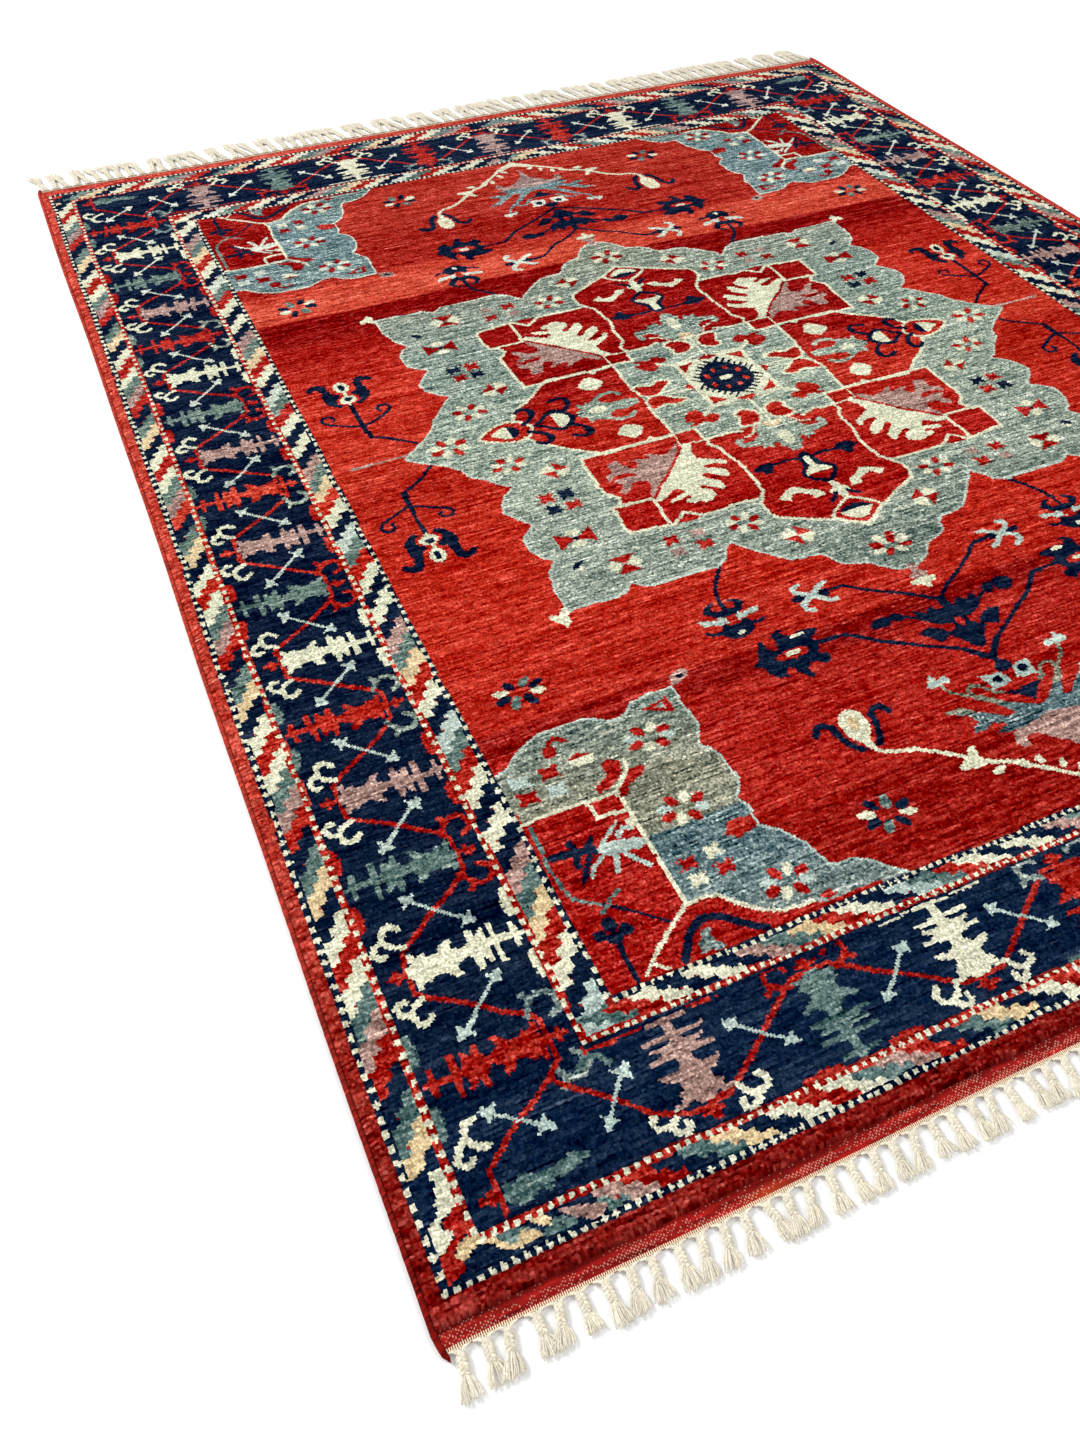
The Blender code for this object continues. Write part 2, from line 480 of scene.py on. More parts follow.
def rosette(
    pen: Pen, centre: Point, yarns: Sequence[Yarn], ring: Point = (26, 18), petal: Point = (11, 7)
) -> None:
    """Draws a ring of eight petals.

    Args:
        pen: the pen.
        centre: the middle of the ring.
        yarns: the petals' yarns, repeated round the ring.
        ring: half-widths of the ring that the petals' middles lie on.
        petal: a petal's half-length and half-width.
    """
    for k in range(8):
        angle = math.radians(22.5 + 45 * k)
        place = (centre[0] + ring[0] * math.cos(angle), centre[1] + ring[1] * math.sin(angle))
        slant = math.degrees(math.atan2(ring[1] * math.sin(angle), ring[0] * math.cos(angle)))
        pen.oval(place, petal, yarns[k % len(yarns)], slant)


def cross_star(pen: Pen, centre: Point, yarn: Yarn, size: Point = (16, 12)) -> None:
    """Draws a four-armed star with split ends."""
    a, b = size
    arm = [(0, b * 0.45), (a * 0.55, b), (a * 0.6, b * 0.5), (a, b * 0.75), (a * 0.55, 0)]
    star = [*arm, *[(u, -v) for u, v in reversed(arm[:-1])]]
    star = [*star, *[(-u, v) for u, v in reversed(star)]]
    pen.at(centre).fill(star, yarn)


def pinwheel(pen: Pen, centre: Point, size: Point = (31, 25)) -> None:
    """Draws four triangles round a point, red and ivory in turn."""
    a, b = size
    here = pen.at(centre)
    here.fill([(0, 0), (-a * 0.2, b), (-a, b * 0.35), (-a * 0.9, 0)], Yarn.IVORY)
    here.fill([(0, 0), (a * 0.1, b), (a * 0.5, b * 0.5), (a, 0)], Yarn.PANEL)
    here.fill([(0, 0), (a * 0.2, -b), (a, -b * 0.35), (a * 0.9, 0)], Yarn.IVORY)
    here.fill([(0, 0), (-a * 0.1, -b), (-a * 0.5, -b * 0.5), (-a, 0)], Yarn.PANEL)


def stripes_path(pitch: float) -> list[Point]:
    """Gives the stepped edge between two leaves of a guard, as (run along, share across)."""
    steps = ((0, 0), (0.10, 0.38), (0.44, 0.30), (0.62, 0.66), (0.95, 0.60), (1.10, 1.0))
    return [(pitch * run, share) for run, share in steps]


# Guards


@dataclass(frozen=True)
class Guard:
    """A guard border: interlocked leaves between two rows of dots.

    Args:
        outer: the guard's outer limits.
        inner: the limits of what it surrounds.
        outer_dots: ground yarn of the outer row of dots.
        inner_dots: ground yarn of the inner row.
        yarns: the leaves' yarns in turn.
        side_dot: the width of a row of dots at the sides.
        end_dot: the width of a row of dots at the ends.
        pitch: the length of one leaf along the guard.
        turns: whether its leaves turn the near corners in shapes of their own.
    """

    outer: Limits
    inner: Limits
    outer_dots: Yarn
    inner_dots: Yarn
    yarns: tuple[Yarn, ...]
    side_dot: float = 9.8
    end_dot: float = 9.4
    pitch: float = 39.0
    turns: bool = False

    SIDE_STEP: float = 18.9
    END_STEP: float = 13.6

    def near_corner(self, pen: Pen) -> None:
        """Draws the leaves that turn a near corner.

        Args:
            pen: a pen at the guard's corner, its first axis along the end and its second up the side.
        """
        pen.fill("8,8 205,8 190,38 58,38 58,131 8,131", Yarn.NAVY)
        ivory = (
            "33,131 55,131 54,115 56,99 53,87 37,81 27,75 26,67 37,63 37,57 19,45 8,43 8,71 13,75 23,81 "
            "31,91 27,95 33,101 36,119"
        )
        pen.fill(ivory, Yarn.IVORY)
        red = (
            "8,41 21,45 37,57 33,63 27,67 29,75 39,81 53,87 58,85 59,55 45,51 33,45 27,37 35,25 31,17 8,11"
        )
        pen.fill(red, Yarn.MADDER)
        green = (
            "73,38 91,38 109,35 121,26 127,19 139,25 151,29 167,19 163,12 129,12 121,23 105,30 96,19 85,26"
        )
        pen.fill(green, Yarn.GREEN)
        tan = (
            "43,49 61,55 67,45 83,27 95,20 105,32 122,24 126,14 111,17 99,14 83,19 71,31 59,37 47,35 35,27 "
            "27,35 33,45"
        )
        pen.fill(tan, Yarn.TAN)
        pen.fill("115,38 131,38 143,31 137,23 127,26", Yarn.TAN)
        pen.fill("151,35 169,31 191,25 203,19 197,10 181,11 163,23", Yarn.MAUVE)

    def leaves(self, pen: Pen, length: float, width: float, first: int) -> None:
        """Fills a strip with interlocked leaves.

        Args:
            pen: a pen whose first axis runs along the strip and whose second crosses it inwards.
            length: the strip's length.
            width: the strip's width.
            first: which yarn the strip begins with.
        """
        path = stripes_path(self.pitch)
        for k in range(-2, int(length / self.pitch) + 2):
            edge = [(k * self.pitch + run, share * width) for run, share in path]
            next_edge = [(run + self.pitch + 2, across) for run, across in edge]
            pen.fill([*edge, *reversed(next_edge)], self.yarns[(first + k) % len(self.yarns)])

    def dots(self, pen: Pen, length: float, width: float, ground: Yarn, pitch: float) -> None:
        """Draws a row of ivory dots on its ground.

        Args:
            pen: a pen whose first axis runs along the row.
            length: the row's length.
            width: the row's width.
            ground: the yarn between the dots.
            pitch: from one dot to the next.
        """
        pen.fill([(0, 0), (length, 0), (length, width), (0, width)], ground)
        for k in range(int(length / pitch) + 1):
            pen.oval(((k + 0.3) * pitch, 0.48 * width), (0.27 * pitch, 0.43 * width), Yarn.IVORY)

    def weave(self, chart: KnotChart) -> None:
        """Draws the whole guard on the chart."""
        chart.open = chart.inside(self.outer) & ~chart.inside(self.inner)
        out, inn = self.outer, self.inner
        tall, wide = out.far - out.near, out.east - out.west
        side = inn.west - out.west
        for corner_x, inward, first in ((out.west, 1.0, 0), (out.east, -1.0, 3)):
            strip = Pen(chart, (corner_x, out.near), (0.0, 1.0), (inward, 0.0))
            self.leaves(strip.at((0, self.side_dot)), tall, side - 2 * self.side_dot, first)
        ends = ((out.near, 1.0, inn.near - out.near, 3), (out.far, -1.0, out.far - inn.far, 6))
        for edge_y, inward, depth, first in ends:
            for way in (1.0, -1.0):
                strip = Pen(chart, (AXIS, edge_y + inward * self.end_dot), (way, 0.0), (0.0, inward))
                start = -self.pitch * 0.5
                self.leaves(strip.at((start, 0)), wide / 2 + 60, depth - 2 * self.end_dot, first)
            peak = depth - 2 * self.end_dot
            middle = Pen(chart, (AXIS, edge_y + inward * self.end_dot), (1.0, 0.0), (0.0, inward))
            middle.fill([(-30, 0), (30, 0), (0, peak)], Yarn.NAVY)
        if self.turns:
            for corner_x, way in ((out.west, 1.0), (out.east, -1.0)):
                self.near_corner(Pen(chart, (corner_x, out.near), (way, 0.0), (0.0, 1.0)))
        self.rows_of_dots(chart)

    def rows_of_dots(self, chart: KnotChart) -> None:
        """Draws the four outer and the four inner rows of dots.

        Args:
            chart: the chart.
        """
        rows = ((self.outer, self.outer_dots, 1.0), (self.inner, self.inner_dots, -1.0))
        for row, ground, way in rows:
            tall, wide = row.far - row.near, row.east - row.west
            for edge_x, inward in ((row.west, way), (row.east, -way)):
                strip = Pen(chart, (edge_x, row.near), (0.0, 1.0), (inward, 0.0))
                self.dots(strip, tall, self.side_dot, ground, self.SIDE_STEP)
            for edge_y, inward in ((row.near, way), (row.far, -way)):
                strip = Pen(chart, (row.west, edge_y), (1.0, 0.0), (0.0, inward))
                self.dots(strip, wide, self.end_dot, ground, self.END_STEP)


# Main border


@dataclass(frozen=True)
class MainBorder:
    """The navy border: palmettes in a swinging vine.

    Args:
        outer: the border's outer limits.
        inner: the limits of what it surrounds.
    """

    outer: Limits
    inner: Limits

    FULL: float = 202.3
    END_SPREAD: float = 1.45
    MIDDLE_TURN: float = -4.0
    NEAR_STEP: float = 153.3
    FAR_STEP: float = 149.25
    END_STEP: float = 204.0
    LEVEL: float = 28.0
    OUTER_TURN: float = 40.0
    INNER_TURN: float = 167.0
    CYCLE: tuple[Yarn, ...] = (Yarn.MADDER, Yarn.MAUVE, Yarn.GREEN, Yarn.IVORY)
    PALMETTE: tuple[Point, ...] = trace("0,7 8,10 4,26 12,28 16,18 26,22 30,15 46,15 50,22 62,29 67,28 "
                                        "62,14 74,7 82,7 84,16 86,30 92,31 97,15 106,26 110,24 109,7 117,5 "
                                        "118,30 126,30 126,5 147,5 147,20 154,20 156,4 165,3")

    def palmette(self, pen: Pen, spread: float, yarn: Yarn) -> None:
        """Draws one palmette that grows along the pen's second axis."""
        pen.both([(half * spread, reach) for reach, half in self.PALMETTE], yarn)

    def turn(self, pen: Pen, inner: bool, spread: float, yarn: Yarn) -> None:
        """Draws a palmette with the small motifs round its turn of the vine.

        Args:
            pen: a pen at the outer edge, first axis along the border, second one inwards.
            inner: whether the vine turns at the inner edge here.
            spread: how much wider than deep the motifs are.
            yarn: the palmette's yarn.
        """
        base = self.INNER_TURN if inner else self.OUTER_TURN
        way = -1.0 if inner else 1.0
        start = tuple(pen.place([(0, base)])[0])
        grow = Pen(pen.chart, start, pen.across, tuple(way * np.asarray(pen.along)))
        self.palmette(grow, spread, yarn)
        bud = trace("2,0 4,-10 10,-12 11,-19 5,-18 4,-27 0,-28")
        grow.both([(u * spread, v) for u, v in bud], Yarn.MADDER)
        tip = {
            Yarn.IVORY: Yarn.IVORY,
            Yarn.MAUVE: Yarn.MADDER,
            Yarn.MADDER: Yarn.GREEN,
            Yarn.GREEN: Yarn.MADDER,
        }
        for side in (1, -1):
            comb = trace("26,0 26,9 31,9 34,13 39,10 43,13 48,11 53,14 57,9 64,11 68,8 72,8 72,0")
            edge = self.FULL if not inner else 0.0
            inward = -1.0 if not inner else 1.0
            pen.fill([(side * (u + 2) * spread ** 0.5, edge + inward * v) for u, v in comb], tip[yarn])
        for side in (1, -1):
            if inner:
                hook = Yarn.MADDER if yarn == Yarn.GREEN else Yarn.CELADON
                curl = trace("36,157 51,165 61,177 60,190 50,200 34,199 28,188")
                pen.line([(side * u, v) for u, v in curl], 8.5, hook)
                pen.line([(side * 56, 168), (side * 66, 160)], 8, hook)
            else:
                first = trace("68,50 77,40 73,27 57,24 46,32 40,46")
                second = trace("57,24 54,12 42,6 34,14 36,22")
                pen.line([(side * u, v) for u, v in first], 8.5, Yarn.IVORY)
                pen.line([(side * u, v) for u, v in second], 8.5, Yarn.IVORY)

    def trident(self, pen: Pen, start: Point, end: Point, yarn: Yarn) -> None:
        """Draws a rod with a three-pronged tip at either end."""
        run = np.asarray(end) - np.asarray(start)
        angle = math.degrees(math.atan2(run[1], run[0]))
        pen.line([start, end], 4.8, yarn)
        for place, turned in ((start, angle + 180), (end, angle)):
            tip = pen.at(place, turned)
            tip.fill("-10,0 -4,5 -3,16 3,7 14,3 14,-3 3,-7 -3,-16 -4,-5", yarn)

    def run(self, pen: Pen, turns: Sequence[tuple[float, bool, Yarn]], spread: float) -> None:
        """Draws one side of the border.

        Args:
            pen: a pen at the outer edge, first axis along the border, second one inwards.
            turns: for each turn its place along the border, whether it is an inner turn, and its yarn.
            spread: how much wider than deep the motifs are.
        """
        for (a, a_inner, _), (b, b_inner, _) in zip(turns, turns[1:]):
            start = (a + self.LEVEL, self.INNER_TURN if a_inner else self.OUTER_TURN)
            end = (b - self.LEVEL, self.INNER_TURN if b_inner else self.OUTER_TURN)
            soft = [
                (a, start[1]),
                start,
                (start[0] + 10, start[1] + 0.06 * (end[1] - start[1])),
                (end[0] - 10, end[1] - 0.06 * (end[1] - start[1])),
                end,
                (b, end[1]),
            ]
            pen.line(soft, 7.0, Yarn.MADDER)
            middle = ((start[0] + end[0]) / 2, (start[1] + end[1]) / 2 + 4)
            tilt = -1.0 if end[1] > start[1] else 1.0
            reach = (28.0, 31.0 * tilt)
            self.trident(
                pen,
                (middle[0] - reach[0], middle[1] - reach[1]),
                (middle[0] + reach[0], middle[1] + reach[1]),
                Yarn.SKY,
            )
        for place, inner, yarn in turns:
            self.turn(pen.at((place, 0)), inner, spread, yarn)

    def corner(self, pen: Pen) -> None:
        """Draws a corner, from a pen whose axes run inwards from the border's outer corner."""
        pen.line("167,190 167,150 147,133 90,96 37,58 37,8", 7.0, Yarn.MADDER)
        pen.line("147,133 200,84 242,43 282,25 312,25", 7.0, Yarn.MADDER)
        pen.fill("37,34 24,36 22,30 14,34 14,24 24,26 26,18 37,22", Yarn.MADDER)
        leaf = (
            "40,20 48,42 60,34 70,44 84,36 100,34 118,36 132,40 158,32 136,24 118,18 104,20 94,10 86,18 "
            "60,8 48,16"
        )
        pen.fill(leaf, Yarn.GREEN)
        self.trident(pen, (66, 122), (118, 84), Yarn.SKY)
        self.trident(pen, (190, 54), (232, 104), Yarn.SKY)
        pen.line("46,122 32,118 26,104 36,92 50,86", 8.5, Yarn.IVORY)
        pen.line("28,104 14,96 8,82 18,74 28,80", 8.5, Yarn.IVORY)
        pen.line("184,128 198,140 214,136 222,122", 8.0, Yarn.GREEN)
        pen.fill("198,155 198,144 214,146 230,142 246,146 264,148 264,155", Yarn.MADDER)

    def weave(self, chart: KnotChart) -> None:
        """Draws the whole border on the chart."""
        chart.open = chart.inside(self.outer) & ~chart.inside(self.inner)
        out, inn = self.outer, self.inner
        Pen(chart).fill(
            [(out.west, out.near), (out.east, out.near), (out.east, out.far), (out.west, out.far)], Yarn.NAVY
        )
        side_turns = []
        for k in range(-8, 9):
            step = self.FAR_STEP if k > 0 else self.NEAR_STEP
            side_turns.append((self.MIDDLE_TURN + step * k, k % 2 == 0, self.CYCLE[abs(k) % 4]))
        for edge_x, inward in ((out.west, 1.0), (out.east, -1.0)):
            self.run(Pen(chart, (edge_x, 0.0), (0.0, 1.0), (inward, 0.0)), side_turns, 1.0)
        end_yarns = (Yarn.MAUVE, Yarn.MADDER, Yarn.IVORY, Yarn.GREEN, Yarn.MAUVE)
        end_turns = [(self.END_STEP * i, i % 2 != 0, end_yarns[abs(i)]) for i in range(-4, 5)]
        ends = ((out.near, inn.near - out.near, 1.0), (out.far, out.far - inn.far, -1.0))
        for edge_y, depth, inward in ends:
            scale = depth / self.FULL
            pen = Pen(chart, (AXIS, edge_y), (1.0, 0.0), (0.0, inward * scale))
            self.run(pen, end_turns, self.END_SPREAD)
        for corner_x, x_way in ((out.west, 1.0), (out.east, -1.0)):
            for corner_y, depth, y_way in ends:
                scale = depth / (inn.near - out.near)
                self.corner(Pen(chart, (corner_x, corner_y), (x_way, 0.0), (0.0, y_way * scale)))
        for edge in (inn.near - 2.5, inn.far + 2.5):
            Pen(chart).line([(inn.west, edge), (inn.east, edge)], 5.0, Yarn.NAVY)


# Medallion


@dataclass(frozen=True)
class Medallion:
    """The star in the middle of the field, drawn as one quarter and mirrored twice."""

    centre: Point = (AXIS, -18.0)
    line_width: float = 7.0

    STAR: tuple[Point, ...] = trace("0,658 20,653 41,638 56,618 64,605 96,593 116,578 124,563 136,553 "
                                    "186,548 206,533 231,513 251,493 262,473 276,488 291,508 316,520 "
                                    "396,518 451,516 475,503 496,516 606,518 608,468 596,418 571,390 "
                                    "591,378 606,350 604,313 568,279 590,258 605,233 600,208 586,188 "
                                    "560,168 580,150 600,125 625,100 632,78 660,50 690,25 720,0")

    def quarters(self, chart: KnotChart) -> list[Pen]:
        """Gives the four mirrored pens."""
        ways = ((1.0, 1.0), (-1.0, 1.0), (-1.0, -1.0), (1.0, -1.0))
        return [Pen(chart, self.centre, (x, 0.0), (0.0, y)) for x, y in ways]

    def ground(self, pen: Pen) -> None:
        """Draws the star's celadon ground and its pale edge."""
        pen.fill([(0, 0), *self.STAR], Yarn.CELADON)
        pen.line(self.STAR, 4.6, Yarn.SKY)

    def finials(self, pen: Pen) -> None:
        """Draws the tips of the star and the buds at its corners."""
        pen.fill("0,646 10,650 8,668 20,676 12,686 0,684", Yarn.MAUVE)
        pen.fill("0,684 12,686 26,690 22,700 8,700 4,712 0,712", Yarn.IVORY)
        pen.fill("604,514 612,508 626,520 642,516 640,530 628,536 622,546 610,536 612,526", Yarn.IVORY)
        if pen.along[1] > 0:
            pen.line("712,10 826,10", 8.0, Yarn.MAUVE)

    def star_flowers(self, pen: Pen) -> None:
        """Draws the small flowers on the star's ground."""
        red_ivory = (Yarn.PANEL, Yarn.IVORY)
        rosette(pen, (214, 438), red_ivory)
        rosette(pen, (545, 98), red_ivory)
        for centre in ((0, 580), (628, 0)):
            rosette(pen, centre, red_ivory, (29, 19), (14, 8))
        pinwheel(pen, (140, 505))
        pinwheel(pen, (467, 153))
        cross_star(pen, (308, 460), Yarn.PANEL, (19, 15))
        cross_star(pen, (361, 428), Yarn.PANEL, (19, 15))
        cross_star(pen, (361, 462), Yarn.MAUVE, (16, 13))
        cross_star(pen, (308, 426), Yarn.MAUVE, (16, 13))
        pen.fill("439,477 489,477 464,453 490,431 438,431 464,453", Yarn.PANEL)
        pen.fill("441,471 459,453 441,436 430,453", Yarn.IVORY)
        pen.fill("487,471 469,453 487,436 498,453", Yarn.IVORY)
        pen.fill("528,414 540,426 556,432 552,420 544,412", Yarn.NAVY)
        pen.fill("534,428 540,436 548,434 542,426", Yarn.IVORY)
        wings = trace("482,374 498,363 515,354 532,363 548,374 548,330 532,341 515,350")
        pen.fill([*wings, (498, 341), (482, 330)], Yarn.PANEL)
        for way in (1, -1):
            petal = trace("501,15 515,6 529,15 523,27 507,26")
            pen.fill([(u, 352 + way * v) for u, v in petal], Yarn.IVORY)
        pen.oval((515, 352), (5, 5), Yarn.NAVY)
        stars = (
            ((20, 17), Yarn.NAVY), ((-20, -17), Yarn.NAVY), ((-20, 17), Yarn.PANEL), ((20, -17), Yarn.PANEL),
        )
        for offset, yarn in stars:
            cross_star(pen, (497 + offset[0], 242 + offset[1]), yarn, (20, 16))

    def panels(self, pen: Pen) -> None:
        """Draws the red panels and the ivory lines between them."""
        top_arm = trace("0,528 50,498 150,448 158,430 158,403 145,386 132,368 128,345 130,290 136,258 "
                        "138,218 155,193 145,173")
        corner = trace("158,386 271,386 301,363 331,388 416,380 421,368 421,303 401,300 391,280 411,258 "
                       "413,238 408,138 262,138 252,128 242,137 200,136")
        side_arm = trace("205,130 355,143 400,108 440,78 462,58 474,33")
        pen.fill([*top_arm, (0, 173)], Yarn.PANEL)
        pen.fill([*corner, (150, 136), (150, 190), (136, 220), (132, 300), (134, 370)], Yarn.PANEL)
        pen.fill([(0, 0), *side_arm, (474, 0)], Yarn.PANEL)
        width = self.line_width
        pen.line(top_arm, width, Yarn.IVORY)
        pen.line(corner, width, Yarn.IVORY)
        pen.line([(200, 138), (262, 138), (355, 143), *side_arm[2:]], width, Yarn.IVORY)
        pen.line("336,386 336,303 421,303", width, Yarn.IVORY)
        pen.fill("276,388 301,367 326,388 301,392", Yarn.PANEL)

    def side_bud(self, pen: Pen) -> None:
        """Draws the diamond bud at the end of each side arm."""
        rim = "450,0 466,26 492,36 528,28 552,14 566,0"
        pen.fill(rim, Yarn.PANEL)
        pen.line(rim, 6.5, Yarn.IVORY)
        lens = [(478, 0), (486, 16), (500, 22), (500, 0)]
        pen.fill(lens, Yarn.NAVY)
        pen.fill("500,0 500,22 516,16 532,8 540,0", Yarn.IVORY)

    def side_arm(self, pen: Pen) -> None:
        """Draws the scrolls, the ring and the flower in each side arm."""
        inner = [(396, 25), (386, 22), (372, 12), (367, 0)]
        pen.fill("450,0 430,13 408,33 396,37 382,31 366,20 356,5 356,0", Yarn.NAVY)
        pen.fill([(434, 0), (424, 7), (406, 22), *inner], Yarn.PANEL)
        pen.fill([(401, 0), (401, 22), *inner], Yarn.IVORY)
        for scroll, blob in (
            ([(463, 13), (447, 21), (435, 33), (430, 47), (436, 60), (450, 63), (461, 55)], (433, 46)),
            ([(370, 24), (357, 35), (347, 47), (348, 62), (360, 70), (374, 67), (384, 62)], (349, 54)),
        ):
            pen.line(scroll, 10.5, Yarn.NAVY)
            pen.oval(blob, (8.5, 14), Yarn.NAVY)
        pen.line("338,0 356,0", 6.0, Yarn.NAVY)
        flower = (
            "214,0 214,8 232,12 250,15 272,13 284,20 290,31 304,25 316,33 322,24 334,35 338,24 334,14 "
            "346,10 350,0"
        )
        pen.fill(flower, Yarn.CELADON)
        pen.line("316,22 300,29 286,41 268,48 250,46 238,34", 10.5, Yarn.CELADON)
        pen.fill("325,0 314,9 302,12 288,10 281,0", Yarn.IVORY)
        leaf = "307,91 292,106 280,117 262,112 247,92 258,77 277,68 292,75"
        pen.fill(leaf, Yarn.IVORY)

    def top_arm(self, pen: Pen) -> None:
        """Draws the bud, the leaves and the ringed flower in the top and bottom arms."""
        bud = "0,524 26,512 48,498 52,491 44,479 22,462 0,450"
        pen.fill(bud, Yarn.PANEL)
        pen.line(bud, 6.5, Yarn.IVORY)
        pen.fill("0,511 16,506 28,497 35,487 0,487", Yarn.IVORY)
        pen.fill("0,487 37,487 27,478 12,472 0,471", Yarn.NAVY)
        pen.fill("0,453 6,448 8,440 20,428 22,422 10,414 7,396 0,396", Yarn.IVORY)
        pen.line("31,446 22,440 13,430", 9.0, Yarn.NAVY)
        wing = (
            "29,424 53,425 57,413 71,405 82,400 92,403 100,417 119,404 111,397 88,384 76,382 55,398 38,406"
        )
        pen.fill(wing, Yarn.IVORY)
        ring = "0,397 10,394 28,380 41,363 37,350 21,334 16,312 12,298 0,296"
        pen.fill(ring, Yarn.NAVY)
        pen.fill("0,386 20,374 31,361 22,346 10,340 0,340", Yarn.PANEL)
        pen.fill("0,361 29,363 31,357 22,348 14,342 8,336 7,309 0,307", Yarn.IVORY)
        pen.line("12,310 40,305 70,309", 7.0, Yarn.NAVY)
        leaf = "64,306 80,318 86,332 99,331 104,319 122,312 112,302 96,296 76,298"
        pen.fill(leaf, Yarn.NAVY)

    def green_flower(self, pen: Pen) -> None:
        """Draws the celadon flower between the top arm and the middle square."""
        flower = (
            "0,286 12,282 16,270 26,262 22,250 34,246 40,262 48,252 62,258 60,244 76,240 100,234 106,216 "
            "96,204 84,212 92,222 70,222 52,212 46,190 30,176 0,172"
        )
        pen.fill(flower, Yarn.CELADON)
        pen.oval((0, 238), (15, 24), Yarn.IVORY)
        pen.line("40,176 56,200 78,206", 4.0, Yarn.IVORY)

    def middle(self, pen: Pen) -> None:
        """Draws the square in the middle with its rosette and lobes."""
        pen.fill("0,0 0,178 150,178 204,174 204,0", Yarn.CELADON)
        trefoil = (
            "85,116 88,124 101,133 110,136 117,129 124,125 142,131 159,131 155,125 146,122 150,116 160,113 "
            "159,100 150,89 137,80 124,80 115,89 110,100 101,106 92,107"
        )
        pen.fill(trefoil, Yarn.PANEL)
        side_lobe = trace("119,36 132,41 146,44 153,37 168,34 178,39 196,44 203,39 198,30 200,19 191,8 "
                          "177,2 164,4 153,12 139,23 124,30")
        top_lobe = trace("11,149 16,160 27,168 43,171 60,168 62,160 56,152 52,142 48,136 56,131 54,125 "
                         "40,120 25,124 15,134")
        for lobe in (side_lobe, top_lobe):
            pen.line([*lobe, lobe[0]], 13.0, Yarn.IVORY)
            pen.fill(lobe, Yarn.PANEL)
        pen.fill("0,176 14,168 22,178 10,192 0,194", Yarn.TAN)
        pen.line("0,90 0,180", 7.0, Yarn.IVORY)
        pen.line("84,8 150,6", 5.0, Yarn.IVORY)
        pen.line("80,84 96,92 112,104", 9.0, Yarn.IVORY)
        pen.line("16,100 40,92 80,86", 5.0, Yarn.IVORY)
        self.rosette_panel(pen)
        width = self.line_width
        pen.line("0,174 10,176", width, Yarn.IVORY)
        pen.line("72,184 100,176 204,176", width, Yarn.IVORY)
        pen.line("204,176 203,120 205,50", width, Yarn.IVORY)
        box = [(153, 176), (153, 138), (204, 136)]
        pen.fill([*box, (204, 176)], Yarn.PANEL)
        pen.line(box, 6.0, Yarn.IVORY)

    def rosette_panel(self, pen: Pen) -> None:
        """Draws the navy rosette with its slanting teeth in its ivory frame."""
        pen.fill("0,0 86,0 85,86 0,88", Yarn.IVORY)
        pen.fill("76,76 40,76 54,66 74,46", Yarn.PANEL)
        pen.fill("0,96 10,89 27,81 14,78 0,75", Yarn.PANEL)
        pen.fill("89,0 104,0 89,14", Yarn.PANEL)
        pen.fill("0,0 54,0 59,9 50,28 33,46 12,60 0,57", Yarn.NAVY)
        teeth = 7
        for k in range(teeth):
            share = k / (teeth - 1)
            foot = (62 - 54 * share, 8 + 54 * share)
            pen.line([(foot[0] - 8, foot[1] - 6), (foot[0] + 12, foot[1] + 11)], 5.6, Yarn.NAVY)
        pen.oval((36, 17), (6, 9), Yarn.MADDER, -25)
        pen.oval((14, 33), (5, 7), Yarn.MADDER, 20)
        pen.oval((0, 0), (16, 8), Yarn.IVORY)

    def oak_leaves(self, pen: Pen) -> None:
        """Draws the ivory and the mauve leaf in each corner panel."""
        mauve = (
            "209,166 220,191 237,208 258,231 279,250 300,267 314,288 327,298 335,301 331,284 321,273 "
            "320,256 335,250 350,252 360,265 375,273 383,266 371,252 367,245 384,233 371,229 331,233 "
            "329,227 340,218 375,218 387,229 389,211 371,204 369,191 371,179 365,174 346,174 341,189 "
            "333,207 321,208 312,200 314,191 325,184 308,184 289,188 281,185 289,175 291,171 279,174 "
            "268,182 245,189 232,181 220,170"
        )
        pen.fill(mauve, Yarn.MAUVE)
        ivory = (
            "182,169 188,189 198,202 200,224 182,234 159,248 151,259 156,266 165,262 170,255 186,250 "
            "200,251 202,256 182,268 165,282 164,296 170,302 183,297 207,276 216,275 218,284 205,298 "
            "194,308 191,324 194,332 203,332 216,318 228,308 237,308 238,315 224,324 218,334 218,344 "
            "226,347 237,355 249,356 256,349 268,349 281,343 279,337 268,334 262,328 272,326 289,332 "
            "308,333 306,326 289,319 272,315 271,308 281,300 289,300 308,313 327,321 331,308 316,296 "
            "300,275 279,260 253,233 232,212 216,195 198,176"
        )
        pen.fill(ivory, Yarn.IVORY)
        pen.line("331,303 300,271 266,243 237,212 209,184 186,168", 4.0, Yarn.PANEL)
        pen.line("330,314 340,306", 6.0, Yarn.IVORY)

    def weave(self, chart: KnotChart) -> None:
        """Draws the whole medallion on the chart."""
        pens = self.quarters(chart)
        steps = (
            self.ground, self.finials, self.star_flowers, self.panels, self.side_bud, self.side_arm,
            self.top_arm, self.green_flower, self.oak_leaves, self.middle,
        )
        for step in steps:
            for pen in pens:
                step(pen)


# Field sprays


